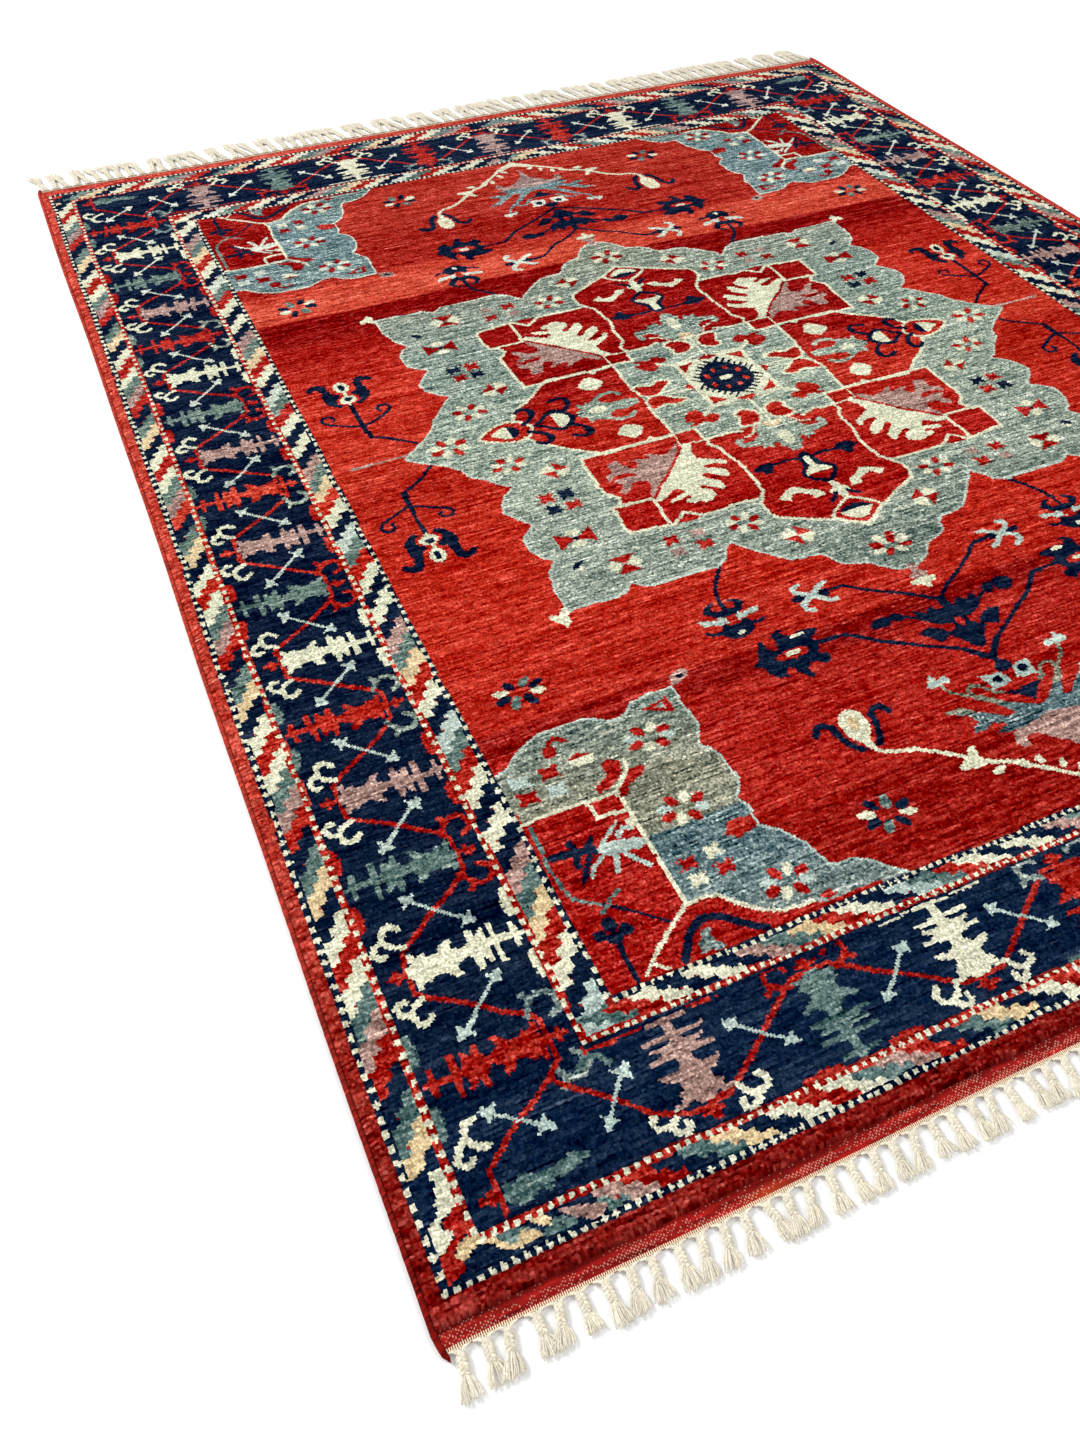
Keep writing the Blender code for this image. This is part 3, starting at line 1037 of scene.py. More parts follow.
@dataclass(frozen=True)
class FieldSprays:
    """The flowers, vines and birds between the medallion and the corners."""

    centre: Point = (AXIS, -18.0)
    stem: float = 8.0

    def chevron(self, pen: Pen) -> None:
        """Draws the navy stem from the palmette to the butterfly, and the butterfly."""
        pen.line("0,744 35,718 85,688 115,664 140,645 172,643", self.stem, Yarn.NAVY)
        here = pen.at((203, 644))
        here.fill("10,0 20,9 38,6 38,-6 20,-9", Yarn.NAVY)
        here.fill("-8,0 -20,11 -33,6 -33,-6 -20,-11", Yarn.NAVY)
        for way in (1, -1):
            fore_wing = [(0, 0), (14, way * 10), (24, way * 20), (23, way * 31), (12, way * 37)]
            here.line(fore_wing, 11.0, Yarn.SKY)
            here.line([(0, 0), (-14, way * 11), (-25, way * 21), (-36, way * 24)], 11.0, Yarn.SKY)

    def palmette(self, pen: Pen) -> None:
        """Draws the navy palmette on the axis, with its leaves."""
        calyx = (
            "0,737 8,737 8,762 14,764 20,762 28,751 37,758 44,764 50,755 64,751 60,764 58,776 50,786 "
            "38,793 24,799 17,800 17,812 0,812"
        )
        pen.both(calyx, Yarn.NAVY)
        pen.both("0,810 17,810 30,820 36,826 28,832 20,842 15,852 8,858 0,860", Yarn.NAVY)
        pen.fill("28,820 40,806 52,796 66,793 84,798 76,808 66,818 58,831 48,827", Yarn.NAVY)
        pen.oval((0, 803), (8, 11), Yarn.MADDER)
        pen.line("54,774 70,764 84,757", 6.5, Yarn.NAVY)
        pen.fill("81,760 84,748 96,741 108,744 104,758 92,765", Yarn.NAVY)
        pen.fill("104,752 110,742 126,737 141,743 152,756 138,766 124,769 112,764", Yarn.NAVY)
        pen.both("0,871 5,878 15,884 19,894 12,903 5,900 0,906", Yarn.NAVY)
        stem = "0,872 25,860 50,846 95,822 150,790 180,764 194,752 250,750"
        pen.line(stem, self.stem, Yarn.NAVY)

    def great_flower(self, pen: Pen) -> None:
        """Draws the navy flower with its ragged lobes."""
        here = pen.at((300, 753))
        rim = (
            "16,-44 5,-56 -13,-54 -2,-48 -5,-41 -13,-37 -41,-40 -63,-35 -66,-28 -49,-17 -45,-14 -54,-8 "
            "-49,6 -40,19 -54,22 -55,35 -41,43 -29,35 -16,31 -5,40 -10,58 -1,60 13,44 16,30 23,28 32,35 "
            "29,46 47,42 58,30 58,17 77,4 59,-8 54,-24 38,-45 33,-39 34,-26 25,-14 18,-17 13,-35"
        )
        here.fill(rim, Yarn.NAVY)
        here.oval((1, 3), (33, 11), Yarn.MADDER)
        here.oval((-2, 1), (15, 5.5), Yarn.IVORY)
        if pen.along[1] < 0:
            here.oval((-27, -33), (14, 5), Yarn.IVORY)

    def bird(self, pen: Pen) -> None:
        """Draws the winged cross beside the star and its stem."""
        here = pen.at((357, 635))
        anchor = (
            "0,-56 4.5,-56 4.5,-24 10,-20 20,-24 25,-34 20,-41 12,-45 16,-49 28,-47 35,-39 42,-30 36,-21 "
            "28,-9 14,-1 0,-4"
        )
        here.both(anchor, Yarn.NAVY)
        wing = trace("8,14 12,-2 20,-6 26,0 34,-3 40,-5 50,-9 58,-9 54,1 48,9 36,8 28,12 18,11")
        for way in (1, -1):
            here.fill([(way * u, v) for u, v in wing], Yarn.SKY)
        bat = "0,20 8,19 20,13 26,16 28,25 40,27 52,21 57,25 48,33 32,35 26,44 16,50 6,52 0,56"
        here.both(bat, Yarn.NAVY)
        here.oval((0, 40), (6, 6), Yarn.IVORY)
        here.fill("-7,6 0,-3 7,6 3,18 0,22 -3,18", Yarn.MADDER)
        pen.line("357,600 357,585 350,562 336,544 316,524", self.stem, Yarn.NAVY)

    def ivory_vine(self, pen: Pen) -> None:
        """Draws the pale vine that hangs from the apex to its bulb."""
        vine = (
            "0,1160 34,1140 54,1128 74,1110 94,1094 112,1078 130,1062 150,1054 173,1036 192,1018 214,1000 "
            "238,984 262,979 279,972 289,958 290,940"
        )
        pen.line(vine, 8.0, Yarn.IVORY)
        pen.fill("0,1172 18,1160 42,1144 62,1124 48,1124 26,1134 0,1148", Yarn.IVORY)
        pen.fill("156,1014 166,1014 178,1028 204,1040 200,1049 158,1050 164,1034", Yarn.IVORY)
        for centre, size, turn in (
            ((154, 1069), (12, 7), 10), ((114, 1076), (8, 13), 30), ((88, 1078), (7, 9), 0),
            ((60, 1100), (6, 10), -20), ((36, 1118), (10, 6), 40),
        ):
            pen.oval(centre, size, Yarn.IVORY, turn)
        here = pen.at((290, 0))
        here.both("0,870 10,874 18,886 20,904 19,920 13,931 7,938 7,950 0,950", Yarn.IVORY)
        here.oval((0, 902), (6, 17), Yarn.TAN)
        hook = trace("14,952 26,938 32,915 34,897 45,885 58,886 67,899")
        for way in (1, -1):
            here.line([(way * u, v) for u, v in hook], 13.0, Yarn.NAVY)

    def crown(self, pen: Pen) -> None:
        """Draws the mauve spire over its celadon antlers, and the navy eyes and fish."""
        spire = (
            "0,1003 20,1008 40,1011 70,1015 87,1026 95,1040 88,1051 76,1052 74,1036 60,1032 42,1040 "
            "30,1052 16,1066 8,1082 4,1100 0,1120"
        )
        pen.fill(spire, Yarn.MAUVE)
        antlers = (
            "0,988 22,980 40,965 60,945 80,930 87,936 72,952 58,968 47,986 65,986 80,973 105,958 120,945 "
            "153,943 132,956 117,965 110,979 130,986 133,995 110,995 90,988 76,1000 102,1010 86,1017 "
            "70,1017 40,1013 20,1010 0,1006"
        )
        pen.fill(antlers, Yarn.CELADON)
        pen.line("82,934 99,919 112,905 117,888", 6.5, Yarn.CELADON)
        pen.fill("96,881 106,872 117,876 124,868 134,874 142,885 128,888 112,885 100,890", Yarn.SKY)
        pen.line("80,930 84,920 70,914 58,920 50,931 46,938 36,941", 6.5, Yarn.CELADON)
        pen.fill("6,924 14,901 24,896 51,897 45,918 47,931 34,929 20,928", Yarn.SKY)
        pen.oval((28, 911), (9, 9), Yarn.NAVY)
        pen.both("0,978 12,962 24,952 39,944 0,945", Yarn.NAVY)

    def loose_rosettes(self, pen: Pen) -> None:
        """Draws the two loose rosettes of each quarter."""
        yarns = (Yarn.NAVY, Yarn.GREEN, Yarn.NAVY, Yarn.IVORY, Yarn.NAVY, Yarn.GREEN, Yarn.NAVY, Yarn.IVORY)
        for centre in ((354, 1070), (749, 650)):
            rosette(pen, centre, yarns, (33, 22), (14, 8))

    def tulip(self, pen: Pen) -> None:
        """Draws the tall navy tulip beside the star."""
        pen.line("682,42 704,64 724,78 754,96", 7.5, Yarn.NAVY)
        pen.line("757,98 758,140", 12.0, Yarn.NAVY)
        pen.line("759,140 759,226", 9.0, Yarn.NAVY)
        here = pen.at((759, 0))
        branch = trace("0,140 23,150 47,162 66,175 72,186 66,197 52,198 45,188 48,180")
        claw = trace("13,228 20,221 30,226 46,242 49,252 48,270 45,288 46,300 56,304 62,296 70,298 72,306 "
                     "66,313 56,319 40,320 30,309 27,288 25,274 12,268 14,260 24,252 26,240")
        for way in (1, -1):
            here.line([(way * u, v) for u, v in branch], 7.5, Yarn.NAVY)
            here.fill([(way * u, v) for u, v in claw], Yarn.NAVY)
        here.line("0,262 0,274", 8.0, Yarn.IVORY)
        here.oval((0, 292), (15.5, 21), Yarn.IVORY)
        here.oval((0, 292), (6, 14), Yarn.NAVY)
        here.oval((0, 246), (18, 14), Yarn.IVORY)
        here.both("0,240 9,238 0,224", Yarn.IVORY)
        here.oval((0, 248), (9, 7), Yarn.NAVY)

    def weave(self, chart: KnotChart) -> None:
        """Draws every spray in the four quarters."""
        steps = (
            self.chevron, self.palmette, self.great_flower, self.bird, self.crown, self.ivory_vine,
            self.loose_rosettes, self.tulip,
        )
        for x, y in ((1.0, 1.0), (-1.0, 1.0), (-1.0, -1.0), (1.0, -1.0)):
            pen = Pen(chart, self.centre, (x, 0.0), (0.0, y))
            for step in steps:
                step(pen)


# Spandrels


@dataclass(frozen=True)
class Spandrel:
    """The quarter star in each corner of the field, drawn from that corner inwards."""

    field_limits: Limits

    GROUND: tuple[Point, ...] = trace("0,0 0,391 22,396 42,416 62,430 87,441 137,443 167,443 187,431 "
                                      "212,418 232,423 252,441 282,446 330,446 327,411 329,361 312,331 "
                                      "307,321 322,306 330,281 332,241 317,221 307,211 317,191 312,156 "
                                      "337,136 357,101 362,71 367,53 402,51 422,41 462,0")

    def ground(self, pen: Pen) -> None:
        """Draws the celadon ground and its edge."""
        pen.fill(self.GROUND, Yarn.CELADON)
        pen.line(self.GROUND[1:], 4.0, Yarn.SKY)
        pen.fill("312,176 296,180 276,182 262,160 276,148 296,152 314,158", Yarn.MADDER)
        pen.fill("326,446 334,456 332,468 352,478 368,470 364,456 348,450", Yarn.MAUVE)
        pen.fill("342,462 352,468 358,462 350,456", Yarn.NAVY)

    def panels(self, pen: Pen) -> None:
        """Draws the red panels, the arch and the ivory lines."""
        pen.fill("0,0 0,294 155,292 155,84 177,82 202,76 217,56 242,36 267,21 292,15 314,15 330,8 420,6 "
                 "420,0", Yarn.PANEL)
        pen.line("0,294 60,296 155,292 155,84 122,62 82,31 57,6", 6.5, Yarn.IVORY)
        pen.line("74,16 88,2", 6.0, Yarn.IVORY)
        pen.line("105,292 105,261 155,261", 6.5, Yarn.IVORY)
        pen.oval((147, 236), (7, 9), Yarn.IVORY)
        pen.line("155,84 177,83 202,76 217,56 242,36 267,21 292,16 314,16", 6.5, Yarn.IVORY)
        pen.line("112,6 137,41 162,56 187,46 212,26 237,4", 12.0, Yarn.NAVY)
        pen.fill("134,4 140,22 152,36 166,40 160,22 172,4", Yarn.CELADON)

    def corner_leaves(self, pen: Pen) -> None:
        """Draws the red leaves that flank the ivory curl."""
        pen.fill("152,350 168,356 182,342 178,322 158,306 128,300 130,312 154,326", Yarn.PANEL)
        pen.fill("156,282 168,306 192,324 214,320 206,306 184,298 164,280", Yarn.PANEL)
        pen.line("155,292 167,304 187,324 190,343", 6.0, Yarn.IVORY)

    def small_flowers(self, pen: Pen) -> None:
        """Draws the rosettes, stars and blocks on the celadon ground."""
        yarns = (Yarn.PANEL, Yarn.IVORY, Yarn.PANEL, Yarn.SKY)
        for centre in ((247, 368), (227, 228), (298, 58)):
            rosette(pen, centre, yarns, (30, 19), (12, 8))
        stars = (
            ((188, 141), Yarn.PANEL), ((230, 143), Yarn.IVORY), ((190, 111), Yarn.IVORY),
            ((232, 112), Yarn.PANEL),
        )
        for centre, yarn in stars:
            cross_star(pen, centre, yarn, (17, 13))
        block = trace("0,0 16,4 34,0 28,14 36,26 18,22 0,28 4,14")
        blocks = (
            ((12, 354), Yarn.SKY), ((58, 354), Yarn.PANEL), ((12, 320), Yarn.PANEL), ((58, 318), Yarn.SKY),
        )
        for low, yarn in blocks:
            pen.fill([(low[0] + u, low[1] + v) for u, v in block], yarn)
        pen.fill("112,376 132,386 154,378", Yarn.PANEL)
        pen.fill("112,376 154,378 146,362 120,362", Yarn.IVORY)
        pen.oval((92, 402), (14, 12), Yarn.PANEL, 30)
        pen.line("92,410 102,421 114,424 126,414", 8.0, Yarn.PANEL)
        pen.fill("262,421 309,430 312,398 294,404", Yarn.PANEL)
        pen.fill("278,419 300,422 302,408", Yarn.CELADON)
        pen.fill("326,20 344,26 352,14 336,8", Yarn.PANEL)

    def claws(self, pen: Pen) -> None:
        """Draws the navy and the pale claw in the red panel, and the stems round them."""
        strokes = (
            ([(20, 222), (46, 218), (80, 212)], 13.0, Yarn.NAVY),
            ([(52, 236), (56, 216), (48, 196)], 10.0, Yarn.NAVY),
            ([(86, 234), (70, 216)], 8.0, Yarn.NAVY),
            ([(70, 206), (50, 180), (42, 172)], 8.0, Yarn.NAVY),
            ([(86, 210), (112, 232), (128, 246)], 6.0, Yarn.SKY),
            ([(96, 208), (120, 204), (140, 200)], 22.0, Yarn.SKY),
            ([(92, 204), (66, 186), (56, 174)], 6.0, Yarn.SKY),
            ([(104, 200), (98, 182), (92, 166)], 8.0, Yarn.SKY),
            ([(114, 196), (124, 176), (138, 160)], 8.0, Yarn.SKY),
            ([(120, 222), (132, 234), (142, 230)], 7.0, Yarn.SKY),
            ([(9, 286), (10, 200), (11, 171), (17, 151), (52, 126)], 6.0, Yarn.GREEN),
            ([(52, 126), (87, 101), (122, 69)], 6.0, Yarn.NAVY),
            ([(42, 114), (58, 124), (66, 134), (82, 138)], 6.0, Yarn.GREEN),
            ([(42, 2), (43, 80)], 8.0, Yarn.NAVY),
        )
        for points, width, yarn in strokes:
            pen.line(points, width, yarn)
        petals = (((24, 82), (10, 9)), ((43, 94), (11, 12)), ((62, 82), (10, 9)), ((43, 74), (14, 8)))
        for centre, size in petals:
            pen.oval(centre, size, Yarn.NAVY)

    def weave(self, chart: KnotChart) -> None:
        """Draws the four spandrels on the chart."""
        sides = self.field_limits
        for corner_x, x_way in ((sides.west, 1.0), (sides.east, -1.0)):
            for corner_y, y_way in ((sides.near, 1.0), (sides.far, -1.0)):
                pen = Pen(chart, (corner_x, corner_y), (x_way, 0.0), (0.0, y_way))
                for step in (self.ground, self.panels, self.corner_leaves, self.small_flowers, self.claws):
                    step(pen)


def draw_chart(plan: RugPlan) -> KnotChart:
    """Draws the whole design.

    Args:
        plan: the rug's plan.

    Returns:
        The finished chart.
    """
    chart = KnotChart(plan.warp_lines(), plan.weft_lines())
    _, outer_guard, border, inner_guard, field_limits = plan.bands
    chart.yarn[:] = int(Yarn.EDGE)
    outer_cycle = (
        Yarn.MADDER, Yarn.IVORY, Yarn.NAVY, Yarn.TAN, Yarn.GREEN, Yarn.NAVY, Yarn.MADDER, Yarn.MAUVE,
        Yarn.GREEN, Yarn.IVORY,
    )
    inner_cycle = (
        Yarn.SKY, Yarn.NAVY, Yarn.IVORY, Yarn.MADDER, Yarn.TAN, Yarn.GREEN, Yarn.MAUVE, Yarn.NAVY, Yarn.IVORY,
        Yarn.NAVY, Yarn.IVORY, Yarn.MADDER, Yarn.GREEN,
    )
    Guard(outer_guard, border, Yarn.NAVY, Yarn.MADDER, outer_cycle, turns=True).weave(chart)
    MainBorder(border, inner_guard).weave(chart)
    Guard(inner_guard, field_limits, Yarn.MADDER, Yarn.NAVY, inner_cycle).weave(chart)
    chart.open = chart.inside(field_limits)
    chart.yarn[chart.open] = int(Yarn.FIELD)
    true_x, true_y, true_slack = chart.x_at, chart.y_at, chart.slack
    chart.stretch_near_end(Medallion.centre)
    FieldSprays().weave(chart)
    Medallion().weave(chart)
    chart.x_at, chart.y_at, chart.slack = true_x, true_y, true_slack
    Spandrel(field_limits).weave(chart)
    return chart


# Dyeing the knots


@dataclass(frozen=True)
class Dyer:
    """Turns the chart's yarns into one colour for each knot.

    Args:
        seed: seeds the uneven dyeing and spinning.
        cast: how strongly red, green and blue follow the unevenness.
        bands: how many display steps the slow bands across the rug differ.
        stagger: how far a change of yarn lot wanders along the weave, in millimetres.
        strength: how light the dyed pile comes out, against its dye.
    """

    seed: int = 4
    cast: tuple[float, float, float] = (1.0, 0.92, 0.84)
    bands: float = 9.0
    stagger: float = 14.0
    strength: float = 0.80

    def unevenness(self, shape: tuple[int, int]) -> tuple[np.ndarray, np.ndarray, np.ndarray]:
        """Makes the three kinds of unevenness of hand-spun yarn.

        Args:
            shape: rows and columns of knots.

        Returns:
            Knot-to-knot change, change in short runs along a row, and slow change in long runs.
        """
        rng = np.random.default_rng(self.seed)
        knots = rng.standard_normal(shape)
        runs = 0.75 * drift(rng, *shape, 1.0, 4.0) + 0.65 * drift(rng, *shape, 1.0, 22.0)
        long_runs = 0.6 * drift(rng, *shape, 3.0, 90.0) + 0.4 * drift(rng, *shape, 9.0, 160.0)
        return knots, runs, long_runs

    def dye(self, chart: KnotChart) -> np.ndarray:
        """Dyes every knot.

        Args:
            chart: the finished chart.

        Returns:
            Linear colours, with the chart's rows and columns and three channels.
        """
        knots, runs, long_runs = self.unevenness(chart.yarn.shape)
        places = chart.ys[:, None] + self.stagger * long_runs
        colours = np.zeros(chart.yarn.shape + (3,))
        for yarn, dye in DYES.items():
            mask = chart.yarn == int(yarn)
            change = dye.mottle * knots[mask] + dye.streak * runs[mask] + self.bands * long_runs[mask]
            colours[mask] = dye.along(places[mask]) + change[:, None] * np.array(self.cast)
        return linear(colours) * self.strength


# Meshes


@dataclass
class Patch:
    """A growing mesh: points in metres, faces of equal corner count, and a colour for each face."""

    points: list[np.ndarray] = field(default_factory=list)
    faces: list[np.ndarray] = field(default_factory=list)
    colours: list[np.ndarray] = field(default_factory=list)
    count: int = 0

    def add(self, points: np.ndarray, faces: np.ndarray, colours: np.ndarray) -> None:
        """Adds a part.

        Args:
            points: the part's points, in metres.
            faces: rows of indexes into those points.
            colours: one linear colour for each face, or one for all of them.
        """
        self.points.append(points)
        self.faces.append(np.asarray(faces, dtype=np.int64) + self.count)
        shades = np.asarray(colours, dtype=float)
        self.colours.append(np.broadcast_to(shades, (len(faces), 3)))
        self.count += len(points)

    def build(self, name: str, finish: "YarnFinish", smooth: bool = True) -> bpy.types.Object:
        """Makes the object.

        Args:
            name: the piece's name.
            finish: its finish.
            smooth: whether its faces are shaded smooth.

        Returns:
            The linked object.
        """
        points = np.concatenate(self.points)
        sizes = np.concatenate([np.full(len(f), f.shape[1]) for f in self.faces])
        corners = np.concatenate([f.ravel() for f in self.faces])
        mesh = bpy.data.meshes.new(name)
        mesh.vertices.add(len(points))
        mesh.vertices.foreach_set("co", points.astype(np.float32).ravel())
        mesh.loops.add(len(corners))
        mesh.loops.foreach_set("vertex_index", corners.astype(np.int32))
        mesh.polygons.add(len(sizes))
        starts = np.concatenate([[0], np.cumsum(sizes)[:-1]])
        mesh.polygons.foreach_set("loop_start", starts.astype(np.int32))
        mesh.update(calc_edges=True)
        mesh.polygons.foreach_set("use_smooth", np.full(len(sizes), smooth))
        layer = mesh.attributes.new(COLOUR_LAYER, "FLOAT_COLOR", "FACE")
        shades = np.concatenate([np.concatenate(self.colours), np.ones((len(sizes), 1))], axis=1)
        layer.data.foreach_set("color", shades.astype(np.float32).ravel())
        mesh.materials.append(finish.material())
        mesh.update()
        piece = bpy.data.objects.new(name, mesh)
        bpy.context.scene.collection.objects.link(piece)
        return piece


def add_flat_map(piece: bpy.types.Object) -> None:
    """Gives a flat piece a map that is its own plan, so that each knot keeps its place on it."""
    mesh = piece.data
    points = np.empty(len(mesh.vertices) * 3, dtype=np.float32)
    mesh.vertices.foreach_get("co", points)
    plan = points.reshape(-1, 3)[:, :2]
    low, high = plan.min(axis=0), plan.max(axis=0)
    margin = 0.004
    spot = margin + (1 - 2 * margin) * (plan - low) / (high - low)
    corners = np.empty(len(mesh.loops), dtype=np.int32)
    mesh.loops.foreach_get("vertex_index", corners)
    layer = mesh.uv_layers.new(name=MAP_LAYER)
    layer.data.foreach_set("uv", spot[corners].astype(np.float32).ravel())


def grid_faces(rows: int, cols: int, wrap: bool = False) -> np.ndarray:
    """Gives the quads of a grid of points.

    Args:
        rows: rows of points.
        cols: points in a row.
        wrap: whether the last point of a row joins its first.

    Returns:
        Rows of four indexes.
    """
    i, j = np.meshgrid(np.arange(rows - 1), np.arange(cols if wrap else cols - 1), indexing="ij")
    k = (j + 1) % cols
    quads = [i * cols + j, i * cols + k, (i + 1) * cols + k, (i + 1) * cols + j]
    return np.stack([q.ravel() for q in quads], axis=1)


def rim_pairs(rows: int, cols: int) -> list[tuple[np.ndarray, np.ndarray]]:
    """Pairs each point on a grid's rim with the next one round it.

    Args:
        rows: rows of points.
        cols: points in a row.

    Returns:
        For each of the four edges, its points' indexes and those of the points after them.
    """
    south = np.arange(cols)
    north = (rows - 1) * cols + south
    west = np.arange(rows) * cols
    east = west + cols - 1
    return [(south[:-1], south[1:]), (east[:-1], east[1:]), (north[1:], north[:-1]), (west[1:], west[:-1])]


def tube_faces(rings: int, sides: int) -> np.ndarray:
    """Lists the faces of a tube whose two ends are closed by quads.

    Args:
        rings: rings of points along it.
        sides: points in a ring, an even number.

    Returns:
        Rows of four indexes, the closed ends last.
    """
    faces = grid_faces(rings, sides, wrap=True)[:, ::-1]
    last = (rings - 1) * sides
    start = [[0, k + 1, k + 2, k + 3] for k in range(0, sides - 2, 2)]
    end = [[last, last + k + 3, last + k + 2, last + k + 1] for k in range(0, sides - 2, 2)]
    return np.concatenate([faces, start, end])


def tube(path: np.ndarray, radii: np.ndarray, sides: int, flat: float = 1.0) -> tuple[np.ndarray, np.ndarray]:
    """Sweeps a closed strand along a path.

    Args:
        path: rows of x, y and z along the strand.
        radii: its radius at each of them.
        sides: points round it.
        flat: its height over its width.

    Returns:
        The strand's points and its faces, the two ends closed by quads.
    """
    run = np.gradient(path, axis=0)
    run /= np.linalg.norm(run, axis=1, keepdims=True) + 1e-12
    up = np.array([0.0, 0.0, 1.0])
    side = np.cross(run, up)
    side /= np.linalg.norm(side, axis=1, keepdims=True) + 1e-12
    lift = np.cross(side, run)
    angle = 2 * np.pi * np.arange(sides) / sides
    level = side[:, None, :] * np.cos(angle)[None, :, None]
    upright = flat * lift[:, None, :] * np.sin(angle)[None, :, None]
    points = path[:, None, :] + radii[:, None, None] * (level + upright)
    return points.reshape(-1, 3), tube_faces(len(path), sides)


# Finishes


class Sum:
    """A shader value that can be used in Python expressions."""

    def __init__(self, nodes: "Shop", socket: bpy.types.NodeSocket) -> None:
        """Wraps a socket of a material."""
        self.nodes = nodes
        self.socket = socket

    def work(self, kind: str, first: object, second: object) -> "Sum":
        """Adds a Math node for one operator."""
        made = self.nodes.add("ShaderNodeMath", {"operation": kind}, {0: first, 1: second})
        return Sum(self.nodes, made.outputs[0])

    def __add__(self, other: object) -> "Sum":
        """Adds."""
        return self.work("ADD", self, other)

    def __radd__(self, other: object) -> "Sum":
        """Adds, the other way round."""
        return self.work("ADD", other, self)

    def __sub__(self, other: object) -> "Sum":
        """Subtracts."""
        return self.work("SUBTRACT", self, other)

    def __rsub__(self, other: object) -> "Sum":
        """Subtracts from something."""
        return self.work("SUBTRACT", other, self)

    def __mul__(self, other: object) -> "Sum":
        """Multiplies."""
        return self.work("MULTIPLY", self, other)

    def __rmul__(self, other: object) -> "Sum":
        """Multiplies, the other way round."""
        return self.work("MULTIPLY", other, self)


class Shop:
    """The nodes of one material."""

    def __init__(self, name: str) -> None:
        """Starts an empty material.

        Args:
            name: the material's name.
        """
        self.material = bpy.data.materials.new(name)
        self.material.use_nodes = True
        self.tree = self.material.node_tree
        self.tree.nodes.clear()

    def add(self, kind: str, settings: dict[str, object], inputs: dict[object, object]) -> bpy.types.Node:
        """Adds a node.

        Args:
            kind: the node's type.
            settings: its own settings, which are set first.
            inputs: for each socket, by name or number, a value or what links to it.

        Returns:
            The node.
        """
        node = self.tree.nodes.new(kind)
        for name, value in settings.items():
            setattr(node, name, value)
        for key, value in inputs.items():
            socket = value.socket if isinstance(value, Sum) else value
            if isinstance(socket, bpy.types.NodeSocket):
                self.tree.links.new(socket, node.inputs[key])
            else:
                node.inputs[key].default_value = value
        return node

    def noise(self, place: bpy.types.NodeSocket, scale: float, detail: float = 2.0) -> Sum:
        """Adds a noise of a given number of features to the metre."""
        made = self.add("ShaderNodeTexNoise", {}, {"Vector": place, "Scale": scale, "Detail": detail})
        return Sum(self, made.outputs[0])

    def tips(self, pitch: float) -> tuple[Sum, Sum]:
        """Adds rounded knot tips.

        Args:
            pitch: how many of them there are to the metre.

        Returns:
            Their height, 1 in the middle of a tip, and a random tone for each.
        """
        made = self.add(
            "ShaderNodeTexVoronoi",
            {"voronoi_dimensions": "2D"},
            {"Vector": self.places(), "Scale": pitch, "Randomness": 0.85},
        )
        parts = self.add("ShaderNodeSeparateXYZ", {}, {0: made.outputs["Color"]})
        return 1.0 - Sum(self, made.outputs["Distance"]), Sum(self, parts.outputs[0])

    def places(self, scale: Sequence[float] = (1.0, 1.0, 1.0)) -> bpy.types.NodeSocket:
        """Gives the object's own coordinates, stretched."""
        own = self.add("ShaderNodeTexCoord", {}, {}).outputs["Object"]
        made = self.add("ShaderNodeVectorMath", {"operation": "MULTIPLY"}, {0: own, 1: tuple(scale)})
        return made.outputs[0]

    def shaded(self, colour: bpy.types.NodeSocket, share: Sum) -> bpy.types.NodeSocket:
        """Multiplies a colour by a value."""
        made = self.add("ShaderNodeVectorMath", {"operation": "SCALE"}, {0: colour, "Scale": share})
        return made.outputs[0]


@dataclass(frozen=True)
class YarnFinish:
    """A yarn's surface: the piece's own colours with fibres and nap over them, darkened with painted shade in
    the gaps between fibres and between knot tips.

    Args:
        name: the material's name.
        grain: how many fibre clumps there are to the metre, along x, y and z.
        depth: how much painted shade darkens the base colour in the gaps between fibres.
        tufts: how many knot tips there are to the metre, or 0 for a smooth yarn.
        relief: the height of the fibres, in metres.
        roughness: the mean roughness.
    """

    name: str
    grain: tuple[float, float, float] = (420.0, 620.0, 420.0)
    depth: float = 0.5
    tufts: float = 0.0
    relief: float = 0.0007
    roughness: float = 0.85

    def material(self) -> bpy.types.Material:
        """Gives the material, made once for all pieces with this finish."""
        known = bpy.data.materials.get(self.name)
        return known if known else self.make()

    def make(self) -> bpy.types.Material:
        """Makes the material.

        Returns:
            A material that reads the piece's colours.
        """
        shop = Shop(self.name)
        dyed = shop.add("ShaderNodeAttribute", {"attribute_name": COLOUR_LAYER}, {}).outputs["Color"]
        clumps = shop.noise(shop.places(self.grain), 1.0, 1.0)
        fibres = shop.noise(shop.places(tuple(2.7 * g for g in self.grain)), 1.0, 2.0)
        nap = clumps * 0.6 + fibres * 0.4
        # painted shade: the base colour is darker where the fibre noise is low, in the gaps between fibres
        light = nap * (2.0 * self.depth) + (1.0 - self.depth)
        if self.tufts:
            tip, tone = shop.tips(self.tufts)
            nap = nap * 0.5 + tip * 0.7
            # painted shade: each knot tip is lighter in its middle and darker towards the gaps between tips;
            # the tone factor is a random tone for each tip
            light = light * (tip * 0.90 + 0.47) * (tone * 0.60 + 0.70)
        colour = shop.shaded(dyed, light)
        bump = shop.add(
            "ShaderNodeBump", {}, {"Strength": 0.8, "Distance": self.relief, "Height": nap}
        ).outputs["Normal"]
        surface = shop.add(
            "ShaderNodeBsdfPrincipled",
            {},
            {
                "Base Color": colour,
                "Roughness": fibres * -0.2 + (self.roughness + 0.1),
                "Specular IOR Level": 0.0,
                "Normal": bump,
            },
        )
        shop.add("ShaderNodeOutputMaterial", {}, {"Surface": surface.outputs[0]})
        return shop.material


# Pile


